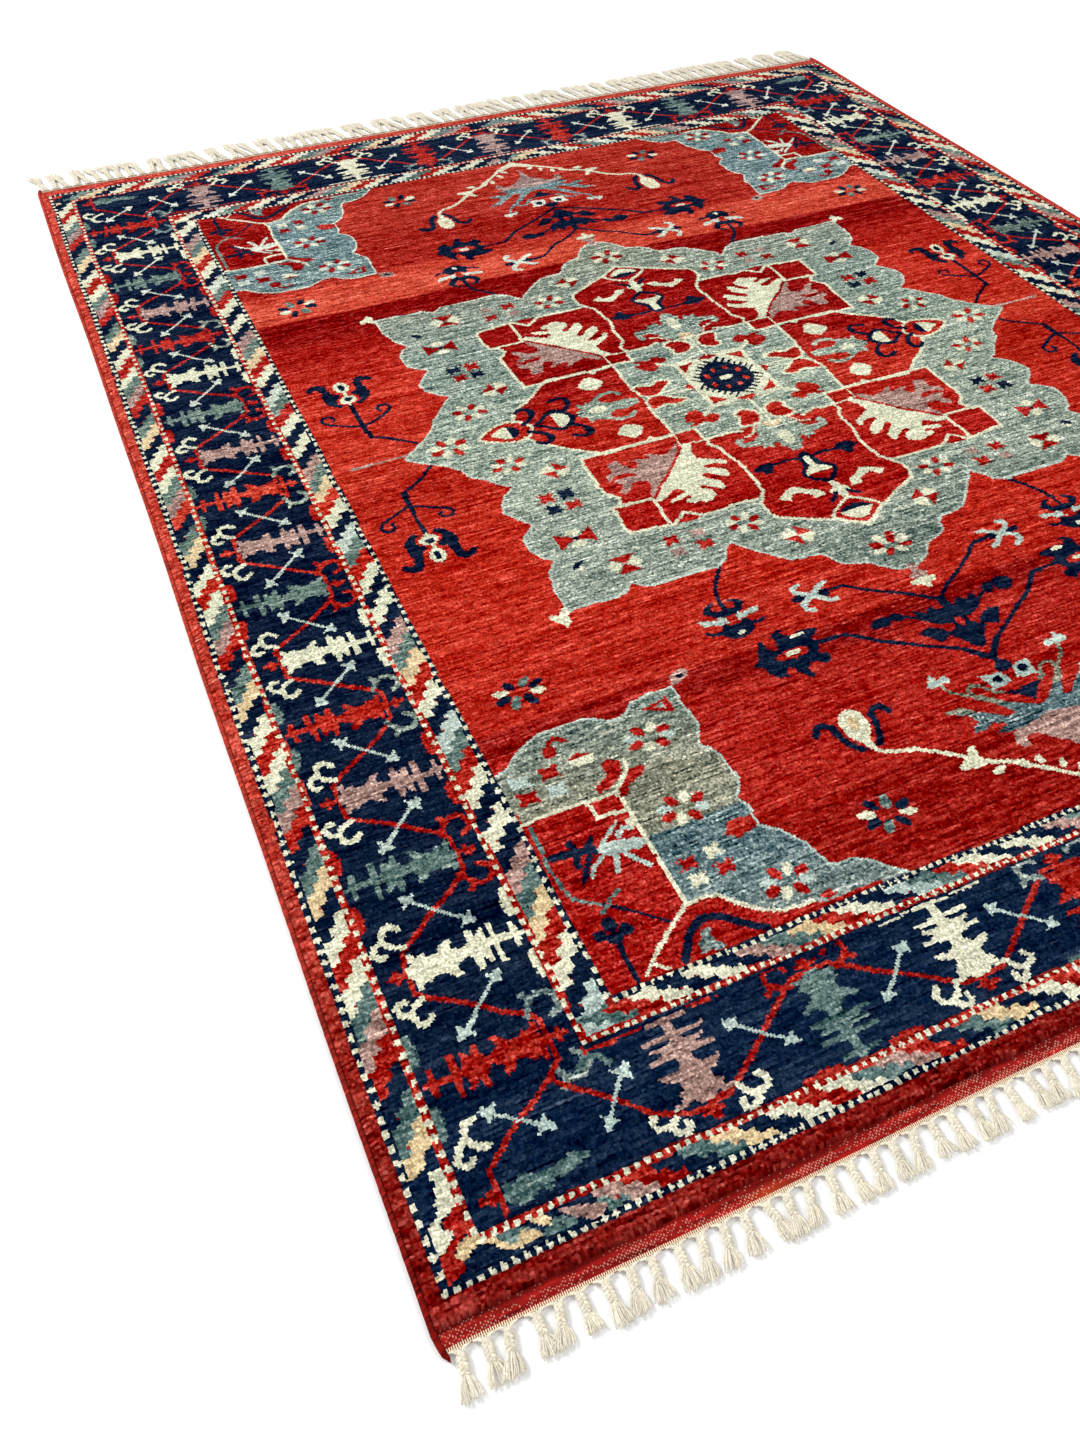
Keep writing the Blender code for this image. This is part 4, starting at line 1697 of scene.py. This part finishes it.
@dataclass(frozen=True)
class PilePiece:
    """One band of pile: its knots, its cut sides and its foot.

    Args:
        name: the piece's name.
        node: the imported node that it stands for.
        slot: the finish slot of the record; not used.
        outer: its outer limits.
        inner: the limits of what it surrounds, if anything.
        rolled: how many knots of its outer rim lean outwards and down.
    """

    name: str
    node: str
    slot: str
    outer: Limits
    inner: Limits | None
    rolled: int = 0

    NAP: float = 0.42
    JITTER: float = 0.68
    ROW_RIDGE: float = 0.16
    ROLL_DROP: tuple[float, ...] = (3.3, 1.5, 0.5)
    SIDE_LEAN: float = 0.9
    END_LEAN: float = 1.6

    def heights(self, plan: RugPlan, chart: KnotChart) -> np.ndarray:
        """Gives the height of every corner between knots, in millimetres.

        Args:
            plan: the rug's plan.
            chart: the chart.

        Returns:
            Heights with one more row and column than the chart.
        """
        rng = np.random.default_rng(23)
        shape = (len(chart.weft_lines), len(chart.warp_lines))
        runs = 0.6 * drift(rng, *shape, 1.0, 3.0) + 0.5 * rng.standard_normal(shape)
        slow = drift(rng, *shape, 22.0, 26.0)
        ridge = np.where(np.arange(shape[0]) % 2 == 0, self.ROW_RIDGE, -self.ROW_RIDGE)[:, None]
        return plan.pile_top / MM - 0.9 + self.NAP * np.clip(runs, -2, 2) + 0.22 * slow + ridge

    def build(
        self, plan: RugPlan, chart: KnotChart, colours: np.ndarray, finish: YarnFinish
    ) -> bpy.types.Object:
        """Builds the band.

        Args:
            plan: the rug's plan.
            chart: the chart.
            colours: the knots' linear colours.
            finish: the pile's finish.

        Returns:
            The piece.
        """
        mask = chart.inside(self.outer)
        if self.inner:
            mask &= ~chart.inside(self.inner)
        height = self.heights(plan, chart)
        rng = np.random.default_rng(29)
        jitter = self.JITTER * np.clip(rng.standard_normal((2, *height.shape)), -1.7, 1.7)
        jitter[0][:, [0, -1]] = 0.0
        jitter[1][[0, -1], :] = 0.0
        x = chart.warp_lines[None, :] + jitter[0]
        y = chart.weft_lines[:, None] + jitter[1]
        foot_x = np.broadcast_to(x, height.shape).copy()
        foot_y = y.copy()
        if self.rolled:
            from_end = np.minimum(np.arange(height.shape[0]), np.arange(height.shape[0])[::-1])
            from_side = np.minimum(np.arange(height.shape[1]), np.arange(height.shape[1])[::-1])
            rim = np.minimum.outer(from_end, from_side)
            for k, drop in enumerate(self.ROLL_DROP[: self.rolled]):
                height = np.where(rim == k, height - drop, height)
            x[:, 0] -= self.SIDE_LEAN
            x[:, -1] += self.SIDE_LEAN
            foot_y[0] -= self.END_LEAN
            foot_y[-1] += self.END_LEAN
        rows, cols = np.nonzero(mask)
        wide = height.shape[1]
        corner = rows * wide + cols
        quads = np.stack([corner, corner + 1, corner + wide + 1, corner + wide], axis=1)
        top_points = np.stack([x.ravel(), y.ravel(), height.ravel()], axis=1)
        skirts, shaded_skirt_colours = self.skirts(mask, wide, colours)
        foot = np.stack([foot_x.ravel(), foot_y.ravel(), np.full(x.size, plan.pile_foot / MM)], axis=1)
        shift = len(top_points)
        walls = np.stack([skirts[:, 1], skirts[:, 0], skirts[:, 0] + shift, skirts[:, 1] + shift], axis=1)
        every = np.concatenate([quads, walls])
        used, again = np.unique(every, return_inverse=True)
        points = plan.lay(np.concatenate([top_points, foot])[used])
        shades = np.concatenate([colours[rows, cols], shaded_skirt_colours])
        patch = Patch()
        patch.add(points, again.reshape(every.shape), shades)
        piece = patch.build(self.name, finish)
        add_flat_map(piece)
        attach(piece, BODY)
        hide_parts(self.node)
        return piece

    def skirts(self, mask: np.ndarray, wide: int, colours: np.ndarray) -> tuple[np.ndarray, np.ndarray]:
        """Finds the edges where the band's cut side shows.

        Args:
            mask: which knots the band has.
            wide: corners in a row.
            colours: the knots' colours.

        Returns:
            For each edge its two corners, with the band on the left, and its colour: the knot's colour
            darkened as painted shade on the cut side.
        """
        padded = np.pad(mask, 1)
        own = padded[1:-1, 1:-1]
        edges, shades = [], []
        sides = (
            (own & ~padded[:-2, 1:-1], 0, 1),
            (own & ~padded[1:-1, 2:], 1, wide + 1),
            (own & ~padded[2:, 1:-1], wide + 1, wide),
            (own & ~padded[1:-1, :-2], wide, 0),
        )
        for found, first, second in sides:
            rows, cols = np.nonzero(found)
            corner = rows * wide + cols
            edges.append(np.stack([corner + first, corner + second], axis=1))
            # painted shade: each cut side takes its knot's colour darkened to 0.9
            shades.append(colours[rows, cols] * 0.9)
        return np.concatenate(edges), np.concatenate(shades)


# Ground weave, flat-woven ends and overcast sides


@dataclass(frozen=True)
class GroundWeave:
    """The woven ground under the pile, whose back shows each knot's collar."""

    node: str = "ground_weave"
    collar: float = 0.25
    step: int = 3

    WEFT: tuple[int, int, int] = (214, 205, 180)
    COTTON: tuple[int, int, int] = (206, 198, 174)

    def build(
        self, plan: RugPlan, chart: KnotChart, colours: np.ndarray, finish: YarnFinish
    ) -> bpy.types.Object:
        """Builds the ground as one thin closed sheet.

        Args:
            plan: the rug's plan.
            chart: the chart.
            colours: the knots' linear colours.
            finish: the back's finish.

        Returns:
            The piece.
        """
        xs, ys = chart.warp_lines[:: self.step], chart.weft_lines[:: self.step]
        xs = np.append(xs, chart.warp_lines[-1]) if xs[-1] != chart.warp_lines[-1] else xs
        ys = np.append(ys, chart.weft_lines[-1]) if ys[-1] != chart.weft_lines[-1] else ys
        x, y = np.meshgrid(xs, ys)
        rng = np.random.default_rng(31)
        under = self.collar * (0.5 + 0.5 * rng.random(x.shape))
        over = np.full(x.shape, (plan.ground_top / MM) - 0.05)
        low = np.stack([x.ravel(), y.ravel(), under.ravel()], axis=1)
        high = np.stack([x.ravel(), y.ravel(), over.ravel()], axis=1)
        rows, cols = x.shape
        floor = grid_faces(rows, cols)[:, ::-1]
        shift = rows * cols
        top = grid_faces(rows, cols) + shift
        rims = rim_pairs(rows, cols)
        walls = np.concatenate([np.stack([a, b, b + shift, a + shift], axis=1) for a, b in rims])
        row_at = np.minimum(np.arange(rows - 1) * self.step + 1, chart.yarn.shape[0] - 1)
        col_at = np.minimum(np.arange(cols - 1) * self.step + 1, chart.yarn.shape[1] - 1)
        collars = colours[np.ix_(row_at, col_at)].reshape(-1, 3)
        back = collars * 0.75 + linear(np.array(self.WEFT)) * 0.12
        cotton = linear(np.array(self.COTTON))
        patch = Patch()
        shades = np.concatenate([back, np.broadcast_to(cotton, (len(top) + len(walls), 3))])
        patch.add(plan.lay(np.concatenate([low, high])), np.concatenate([floor, top, walls]), shades)
        piece = patch.build("ground_cloth", finish)
        add_flat_map(piece)
        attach(piece, BODY)
        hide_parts(self.node)
        return piece


@dataclass(frozen=True)
class FlatWeave:
    """A flat-woven red end: weft ribs over paired warps, with pale warps showing through.

    Args:
        node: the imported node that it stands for.
        outward: -1 for the near end and 1 for the far end.
    """

    node: str
    outward: float

    RIB: float = 2.62
    WEFT: float = 1.18
    RELIEF: float = 0.42
    TEETH: float = 4.6
    RED: tuple[int, int, int] = (140, 26, 24)
    RUST: tuple[int, int, int] = (176, 74, 36)
    PALE: tuple[int, int, int] = (232, 222, 190)

    def build(self, plan: RugPlan, finish: YarnFinish) -> bpy.types.Object:
        """Builds the end.

        Args:
            plan: the rug's plan.
            finish: the flat weave's finish.

        Returns:
            The piece.
        """
        sides = plan.limits(self.node)
        low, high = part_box(self.node)
        ribs = round((sides.east - sides.west) / self.RIB)
        xs = np.linspace(sides.west, sides.east, 4 * ribs + 1)
        rows = round((sides.far - sides.near) / self.WEFT)
        ys = np.linspace(sides.near, sides.far, rows + 1)
        x, y = np.meshgrid(xs, ys)
        rng = np.random.default_rng(37 if self.outward < 0 else 41)
        swell = np.abs(np.sin(np.pi * np.arange(len(xs)) / 4.0))[None, :]
        weft = 0.15 * (np.arange(len(ys)) % 2)[:, None]
        top = high.z / MM - self.RELIEF + self.RELIEF * swell + weft + 0.08 * rng.standard_normal(x.shape)
        y = y + 0.12 * rng.standard_normal(y.shape) * (np.abs(y - (sides.near + sides.far) / 2) < 10)
        upper = np.stack([x.ravel(), y.ravel(), top.ravel()], axis=1)
        lower = upper.copy()
        lower[:, 2] = low.z / MM + 0.15
        count = x.size
        faces = grid_faces(*x.shape)
        rims = rim_pairs(*x.shape)
        walls = np.concatenate([np.stack([b, a, a + count, b + count], axis=1) for a, b in rims])
        shades = self.shades(x, y, sides, rng)
        red = linear(np.array(self.RED))
        patch = Patch()
        colours = np.concatenate([shades, np.broadcast_to(red, (len(faces) + len(walls), 3))])
        patch.add(
            plan.lay(np.concatenate([upper, lower])),
            np.concatenate([faces, faces[:, ::-1] + count, walls]),
            colours,
        )
        piece = patch.build(f"flatweave_cloth_{'near' if self.outward < 0 else 'far'}", finish)
        add_flat_map(piece)
        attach(piece, BODY)
        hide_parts(self.node)
        return piece

    def shades(self, x: np.ndarray, y: np.ndarray, sides: Limits, rng: np.random.Generator) -> np.ndarray:
        """Dyes the faces of the top: red weft, pale warps where it is worn, and the teeth at the hem.

        Args:
            x: the grid's places across the rug.
            y: the grid's places along it.
            sides: the end's limits.
            rng: the source of random numbers.

        Returns:
            One linear colour for each face of the grid.
        """
        rows, cols = x.shape[0] - 1, x.shape[1] - 1
        worn = drift(rng, rows, cols, 5.0, 70.0)
        dark = drift(rng, rows, cols, 3.0, 40.0)
        red = np.array(self.RED) * (1 + 0.13 * dark)[..., None]
        red *= (1 + 0.10 * rng.standard_normal((rows, cols)))[..., None]
        rust = np.clip(drift(rng, rows, cols, 30.0, 150.0) - 1.0, 0, 1)[..., None]
        red = red * (1 - 0.6 * rust) + np.array(self.RUST) * 0.6 * rust
        pale = np.array(self.PALE) * (1 + 0.05 * rng.standard_normal((rows, cols)))[..., None]
        hollow = (np.arange(cols) % 4 < 2)[None, :]
        alternate = ((np.arange(cols) // 4)[None, :] + (np.arange(rows) // 2)[:, None]) % 2 == 0
        hem = sides.near if self.outward < 0 else sides.far
        gap = np.abs((y[:-1, :-1] + y[1:, 1:]) / 2 - hem)
        inward = gap / (sides.far - sides.near)
        bare = np.clip(0.84 - 0.74 * inward + 0.34 * worn, 0.04, 0.96)
        pair = np.repeat(rng.random((rows, (cols + 1) // 2)), 2, axis=1)[:, :cols]
        flecks = hollow & alternate & (pair < bare)
        teeth = (gap < self.TEETH) & (hollow | (gap < 1.2))
        shades = np.where(flecks[..., None], 0.56 * pale + 0.44 * red, red)
        return linear(np.where(teeth[..., None], pale, shades)).reshape(-1, 3)


@dataclass(frozen=True)
class OvercastSide:
    """A side cord wrapped in red wool, which curls in round the corner at either end.

    Args:
        node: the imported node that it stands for.
        outward: -1 for the west side and 1 for the east side.
    """

    node: str
    outward: float

    WRAP: float = 2.6
    SIDES: int = 14
    SWELL: float = 0.34
    CURL: float = 7.0

    def build(self, plan: RugPlan, finish: YarnFinish) -> bpy.types.Object:
        """Builds the side.

        Args:
            plan: the rug's plan.
            finish: the overcasting's finish.

        Returns:
            The piece.
        """
        sides = plan.limits(self.node)
        low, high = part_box(self.node)
        radius = (sides.east - sides.west) / 2
        middle_z = (low.z + high.z) / 2 / MM
        wraps = round((sides.far - sides.near) / self.WRAP)
        y = np.linspace(sides.near + 1, sides.far - 1, 4 * wraps + 1)
        to_end = np.minimum(y - sides.near, sides.far - y)
        curl = self.CURL * np.clip(1 - to_end / 34.0, 0, 1) ** 1.8
        x = (sides.west + sides.east) / 2 - self.outward * curl
        angle = 2 * np.pi * np.arange(self.SIDES) / self.SIDES
        rng = np.random.default_rng(43 if self.outward < 0 else 47)
        pull = drift(rng, 1, len(y), 1.0, 9.0)[0]
        phase = np.pi * (y[:, None] / self.WRAP + self.outward * np.cos(angle)[None, :] * 0.9)
        taper = np.clip(to_end / 7.0, 0.35, 1.0)[:, None]
        swollen = (radius - self.SWELL) * taper + self.SWELL * np.abs(np.sin(phase)) + 0.12 * pull[:, None]
        ring_x = x[:, None] + swollen * np.cos(angle)[None, :]
        ring_z = middle_z + swollen * np.sin(angle)[None, :] * min(1.0, (high.z - low.z) / MM / (2 * radius))
        ring_y = np.broadcast_to(y[:, None], ring_x.shape) + self.outward * 1.1 * np.cos(angle)[None, :]
        points = np.stack([ring_x.ravel(), ring_y.ravel(), ring_z.ravel()], axis=1)
        faces = tube_faces(len(y), self.SIDES)
        wool = DYES[Yarn.EDGE].along((y[:-1] + y[1:]) / 2)[:, None, :]
        turn = np.floor(phase[:-1] / np.pi).astype(int)
        tone = np.random.default_rng(53).standard_normal(4 * wraps + 64)
        shade = wool * (1 + 0.16 * tone[turn - turn.min()])[..., None]
        # painted shade: the wool is darker in the grooves between wraps
        painted_groove_shade = 0.62 + 0.38 * np.abs(np.sin(phase[:-1]))
        colours = linear(shade * painted_groove_shade[..., None]).reshape(-1, 3)
        patch = Patch()
        closed_ends = np.broadcast_to(colours[0], (len(faces) - len(colours), 3))
        patch.add(plan.lay(points), faces, np.concatenate([colours, closed_ends]))
        piece = patch.build(f"overcast_side_{'left' if self.outward < 0 else 'right'}", finish)
        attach(piece, BODY)
        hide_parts(self.node)
        return piece


# Fringe


@dataclass(frozen=True)
class Fringe:
    """One section of fringe: tassels gathered from the warps, plaited, then left loose.

    Args:
        end: "near" or "far".
        number: the section's number, from 1.
        tassels: how many tassels it has.
        braid: the length of the plait, in millimetres.
        tail: the length of the loose ends.
        plump: how full a tassel is.
        cotton_shade: a factor on its cotton colour; below 1 it is painted shade, as at the far end, where it
            stands in for the shade among the close-packed tassels.
        slant: how far a tassel leans west, for each millimetre along it.
    """

    end: str
    number: int
    braid: float
    tail: float
    plump: float = 1.0
    cotton_shade: float = 1.0
    slant: float = 0.08
    tassels: int = 4

    BRAID_HALF: float = 3.3
    STRAND: float = 2.4
    TAIL_RADIUS: float = 0.85
    TAILS: int = 15
    GATHER_RADIUS: float = 1.2
    GATHERS: int = 8
    GATHER_DEPTH: float = 6.5
    PLAIT_TURN: float = 13.0
    PLAIT_STEP: float = 1.6
    PLAIT_STRANDS: int = 3
    COTTON: tuple[int, int, int] = (228, 220, 200)

    def cotton(self, rng: np.random.Generator, faces: int, shade: float) -> np.ndarray:
        """Gives slightly uneven cotton colours."""
        # painted shade: bleach darkens the whole section's cotton, which at the far end stands in for shade
        # among the tassels
        base = np.array(self.COTTON, dtype=float) * shade * self.cotton_shade
        tone = 1 + 0.05 * rng.standard_normal((faces, 1))
        return linear(base * tone)

    def strand(
        self, patch: Patch, plan: RugPlan, rng: np.random.Generator, path: np.ndarray,
        radius: float, shade: float, flat: float = 0.8,
    ) -> None:
        """Adds one strand of yarn.

        Args:
            patch: the mesh so far.
            plan: the rug's plan.
            rng: the source of random numbers.
            path: the strand's points, in millimetres on the plan.
            radius: its radius, in millimetres.
            shade: how light it is.
            flat: its height over its width.
        """
        share = np.linspace(0, 1, len(path))
        radii = radius * (1.0 - 0.35 * share**4)
        points, faces = tube(path, radii, 6, flat)
        patch.add(plan.lay(points), faces, self.cotton(rng, len(faces), shade))

    def tassel(
        self, patch: Patch, plan: RugPlan, rng: np.random.Generator,
        x: float, hem: float, pitch: float, z: float,
    ) -> None:
        """Adds one tassel.

        Args:
            patch: the mesh so far.
            plan: the rug's plan.
            rng: the source of random numbers.
            x: where the tassel is gathered.
            hem: where the weaving ends.
            pitch: from one tassel to the next.
            z: the height of its middle.
        """
        way = -1.0 if self.end == "near" else 1.0
        lean = rng.normal(-self.slant, 0.13)
        half, strand = self.BRAID_HALF * self.plump, self.STRAND * self.plump
        bend = rng.normal(0, 0.0012)
        sag = self.GATHER_DEPTH + rng.uniform(-0.8, 1.2)

        def down(depth: np.ndarray) -> np.ndarray:
            """Gives the plait's sideways place at a depth below the hem."""
            return x + lean * (depth - sag) + bend * (depth - sag) ** 2

        for k in range(self.GATHERS):
            share = (k + 0.5) / self.GATHERS - 0.5
            t = np.linspace(0, 1, 8)
            out = share * (pitch + 1.0)
            ease = t**0.55 if abs(share) > 0.2 else t
            bow = abs(share) * 3.0
            depth = 0.6 + bow * np.sin(np.pi * t / 2) + (sag + 2.0 - bow) * t ** (1 + bow)
            side = x + out * (1 - ease) + share * 4.0 * ease
            path = np.stack([side, hem + way * depth, np.full(8, z) + 0.5 * np.sin(np.pi * t)], axis=1)
            self.strand(patch, plan, rng, path, self.GATHER_RADIUS * self.plump, 0.97 + 0.05 * rng.random())
        start, stop = sag, sag + self.braid * (1 + rng.uniform(-0.06, 0.06))
        depth = np.arange(start, stop, self.PLAIT_STEP)
        twist = 2 * np.pi * (depth - start) / self.PLAIT_TURN
        for k in range(self.PLAIT_STRANDS):
            phase = twist + 2 * np.pi * k / self.PLAIT_STRANDS
            side = down(depth) + half * np.sin(phase)
            height = z + 1.05 * self.plump * np.sin(2 * phase)
            path = np.stack([side, hem + way * depth, height], axis=1)
            self.strand(patch, plan, rng, path, strand, 0.95 + 0.06 * rng.random(), 0.75)
        foot = down(np.array([stop]))[0]
        spread = rng.uniform(0.85, 1.25)
        length = self.tail * rng.uniform(0.86, 1.04)
        for k in range(self.TAILS):
            share = (k + 0.5) / self.TAILS - 0.5 + rng.uniform(-0.05, 0.05)
            t = np.linspace(0, 1, 9)
            own = length * (1 - 0.16 * abs(share)) * rng.uniform(0.84, 1.0)
            flare = (8.0 + 13.0 * spread * (1 - (1 - t) ** 1.7)) * self.plump
            curl = rng.normal(0, 1.0) * np.sin(np.pi * t * rng.uniform(0.7, 1.3))
            side = foot + lean * own * t + share * flare + curl
            height = z + 0.8 * math.cos(math.pi * share) * (1 - 0.5 * t) + rng.uniform(-0.6, 0.6)
            path = np.stack([side, hem + way * (stop - 2.0 + own * t), np.full(9, height)], axis=1)
            self.strand(patch, plan, rng, path, self.TAIL_RADIUS * self.plump, 0.92 + 0.12 * rng.random())

    def build(self, plan: RugPlan, finish: YarnFinish) -> bpy.types.Object:
        """Builds the section.

        Args:
            plan: the rug's plan.
            finish: the cotton's finish.

        Returns:
            The piece.
        """
        node = f"fringe_{self.end}_{self.number:02d}"
        cloth = plan.limits("flatweave_end_near")
        hem_side = plan.limits(f"flatweave_end_{self.end}")
        hem = hem_side.near if self.end == "near" else hem_side.far
        count = SECTIONS * self.tassels
        pitch = (cloth.east - cloth.west) / count
        z = 0.4 + 2.9 * self.plump
        patch = Patch()
        rng = np.random.default_rng(1000 * (1 if self.end == "near" else 2) + self.number)
        for k in range(self.tassels):
            index = (self.number - 1) * self.tassels + k
            x = cloth.west + (index + 0.5) * pitch
            self.tassel(patch, plan, rng, x + rng.normal(0, 1.4), hem, pitch, z)
        piece = patch.build(f"cotton_{node}", finish)
        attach(piece, BODY)
        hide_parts(node)
        return piece


# Studio


@dataclass(frozen=True)
class Studio:
    """The pale floor, the soft light and the camera."""

    FLOOR_SIZE: float = 60.0
    LENS: float = 28.56
    PITCH: float = 41.64
    YAW: float = -23.86
    EYE: tuple[float, float, float] = (-1.2246, -1.8204, 1.3218)

    def floor(self) -> bpy.types.Object:
        """Lays the floor just under the rug."""
        half = self.FLOOR_SIZE / 2
        mesh = bpy.data.meshes.new("studio_floor")
        level = -0.0002
        mesh.from_pydata(
            [(-half, -half, level), (half, -half, level), (half, half, level), (-half, half, level)],
            [],
            [(0, 1, 2, 3)],
        )
        shop = Shop("studio_floor")
        surface = shop.add(
            "ShaderNodeBsdfPrincipled",
            {},
            {"Base Color": (0.93, 0.93, 0.93, 1.0), "Roughness": 0.9, "Specular IOR Level": 0.1},
        )
        shop.add("ShaderNodeOutputMaterial", {}, {"Surface": surface.outputs[0]})
        mesh.materials.append(shop.material)
        floor = bpy.data.objects.new("studio_floor", mesh)
        bpy.context.scene.collection.objects.link(floor)
        return floor

    def lamp(
        self, name: str, place: Sequence[float], target: Sequence[float], size: float, power: float
    ) -> None:
        """Hangs a soft square lamp.

        Args:
            name: the lamp's name.
            place: where it hangs.
            target: what it faces.
            size: the length of its side.
            power: its power in watts.
        """
        data = bpy.data.lights.new(name, "AREA")
        data.shape = "SQUARE"
        data.size = size
        data.energy = power
        lamp = bpy.data.objects.new(name, data)
        lamp.location = place
        lamp.rotation_euler = (Vector(target) - Vector(place)).to_track_quat("-Z", "Y").to_euler()
        bpy.context.scene.collection.objects.link(lamp)

    def light(self) -> None:
        """Lights the studio evenly, with a little more from the far left."""
        world = bpy.data.worlds.new("studio_air")
        world.use_nodes = True
        air = world.node_tree.nodes["Background"]
        air.inputs[0].default_value = (1.0, 1.0, 1.0, 1.0)
        air.inputs[1].default_value = 0.62
        bpy.context.scene.world = world
        self.lamp("key_lamp", (-6.5, 5.5, 6.0), (0, 0, 0), 3.6, 960.0)
        self.lamp("fill_lamp", (5.0, -4.5, 6.5), (0, 0, 0), 4.0, 250.0)
        bpy.context.scene.view_settings.view_transform = "Standard"

    def camera(self, plan: RugPlan) -> None:
        """Sets up the camera over the near left corner.

        Args:
            plan: the rug's plan.
        """
        data = bpy.data.cameras.new("view")
        data.lens = self.LENS
        data.sensor_width = 36.0
        camera = bpy.data.objects.new("view", data)
        camera.location = (
            plan.middle.x + self.EYE[0],
            plan.middle.y + self.EYE[1],
            plan.pile_top + self.EYE[2],
        )
        camera.rotation_euler = (math.radians(self.PITCH), 0.0, math.radians(self.YAW))
        bpy.context.scene.collection.objects.link(camera)
        bpy.context.scene.camera = camera


# The whole rug


def report(piece: bpy.types.Object) -> bpy.types.Object:
    """Reports a piece and hands it on."""
    log.info("%s: %d faces", piece.name, len(piece.data.polygons))
    return piece


def main() -> None:
    """Builds every piece of the rug, then the studio."""
    logging.basicConfig(level=logging.INFO)
    plan = RugPlan()
    studio = Studio()
    studio.camera(plan)
    studio.floor()
    studio.light()
    chart = draw_chart(plan)
    colours = Dyer().dye(chart)

    pile = YarnFinish("pile_wool", depth=0.42, tufts=300.0)
    thick = YarnFinish("edge_wool", depth=0.42, tufts=190.0)
    back = YarnFinish("ground_back", (300.0, 320.0, 300.0), 0.35, 0.0, 0.0004, 0.9)
    flat = YarnFinish("flatweave_wool", (500.0, 900.0, 500.0), 0.45, 0.0, 0.0004, 0.85)
    overcast = YarnFinish("overcast_wool", (900.0, 420.0, 900.0), 0.45, 0.0, 0.0005, 0.8)
    cotton = YarnFinish("fringe_cotton_yarn", (1100.0, 380.0, 1100.0), 0.40, 0.0, 0.0004, 0.9)

    edge, outer_guard, border, inner_guard, field_limits = plan.bands
    bands = (
        PilePiece("edge_pile", "pile_edge_band", "pile_wool_red", edge, outer_guard, 3),
        PilePiece("outer_guard_pile", "pile_outer_guard", "pile_wool_guard", outer_guard, border),
        PilePiece("border_pile", "pile_main_border", "pile_wool_border", border, inner_guard),
        PilePiece("inner_guard_pile", "pile_inner_guard", "pile_wool_guard", inner_guard, field_limits),
        PilePiece("field_pile", "pile_field", "pile_wool_field", field_limits, None),
    )
    riders = [report(band.build(plan, chart, colours, thick if band.rolled else pile)) for band in bands]
    ground = report(GroundWeave().build(plan, chart, colours, back))
    for end, outward in (("near", -1.0), ("far", 1.0)):
        riders.append(report(FlatWeave(f"flatweave_end_{end}", outward).build(plan, flat)))
    for side, outward in (("left", -1.0), ("right", 1.0)):
        riders.append(report(OvercastSide(f"side_cord_{side}", outward).build(plan, overcast)))
    for number in range(1, SECTIONS + 1):
        riders.append(report(Fringe("near", number, 21.0, 27.0, 1.18).build(plan, cotton)))
    for number in range(1, SECTIONS + 1):
        # the far sections' 0.93 darkens their cotton as painted shade
        riders.append(report(Fringe("far", number, 46.0, 54.0, 1.42, 0.93, 0.16).build(plan, cotton)))


if __name__ == "__main__":
    main()
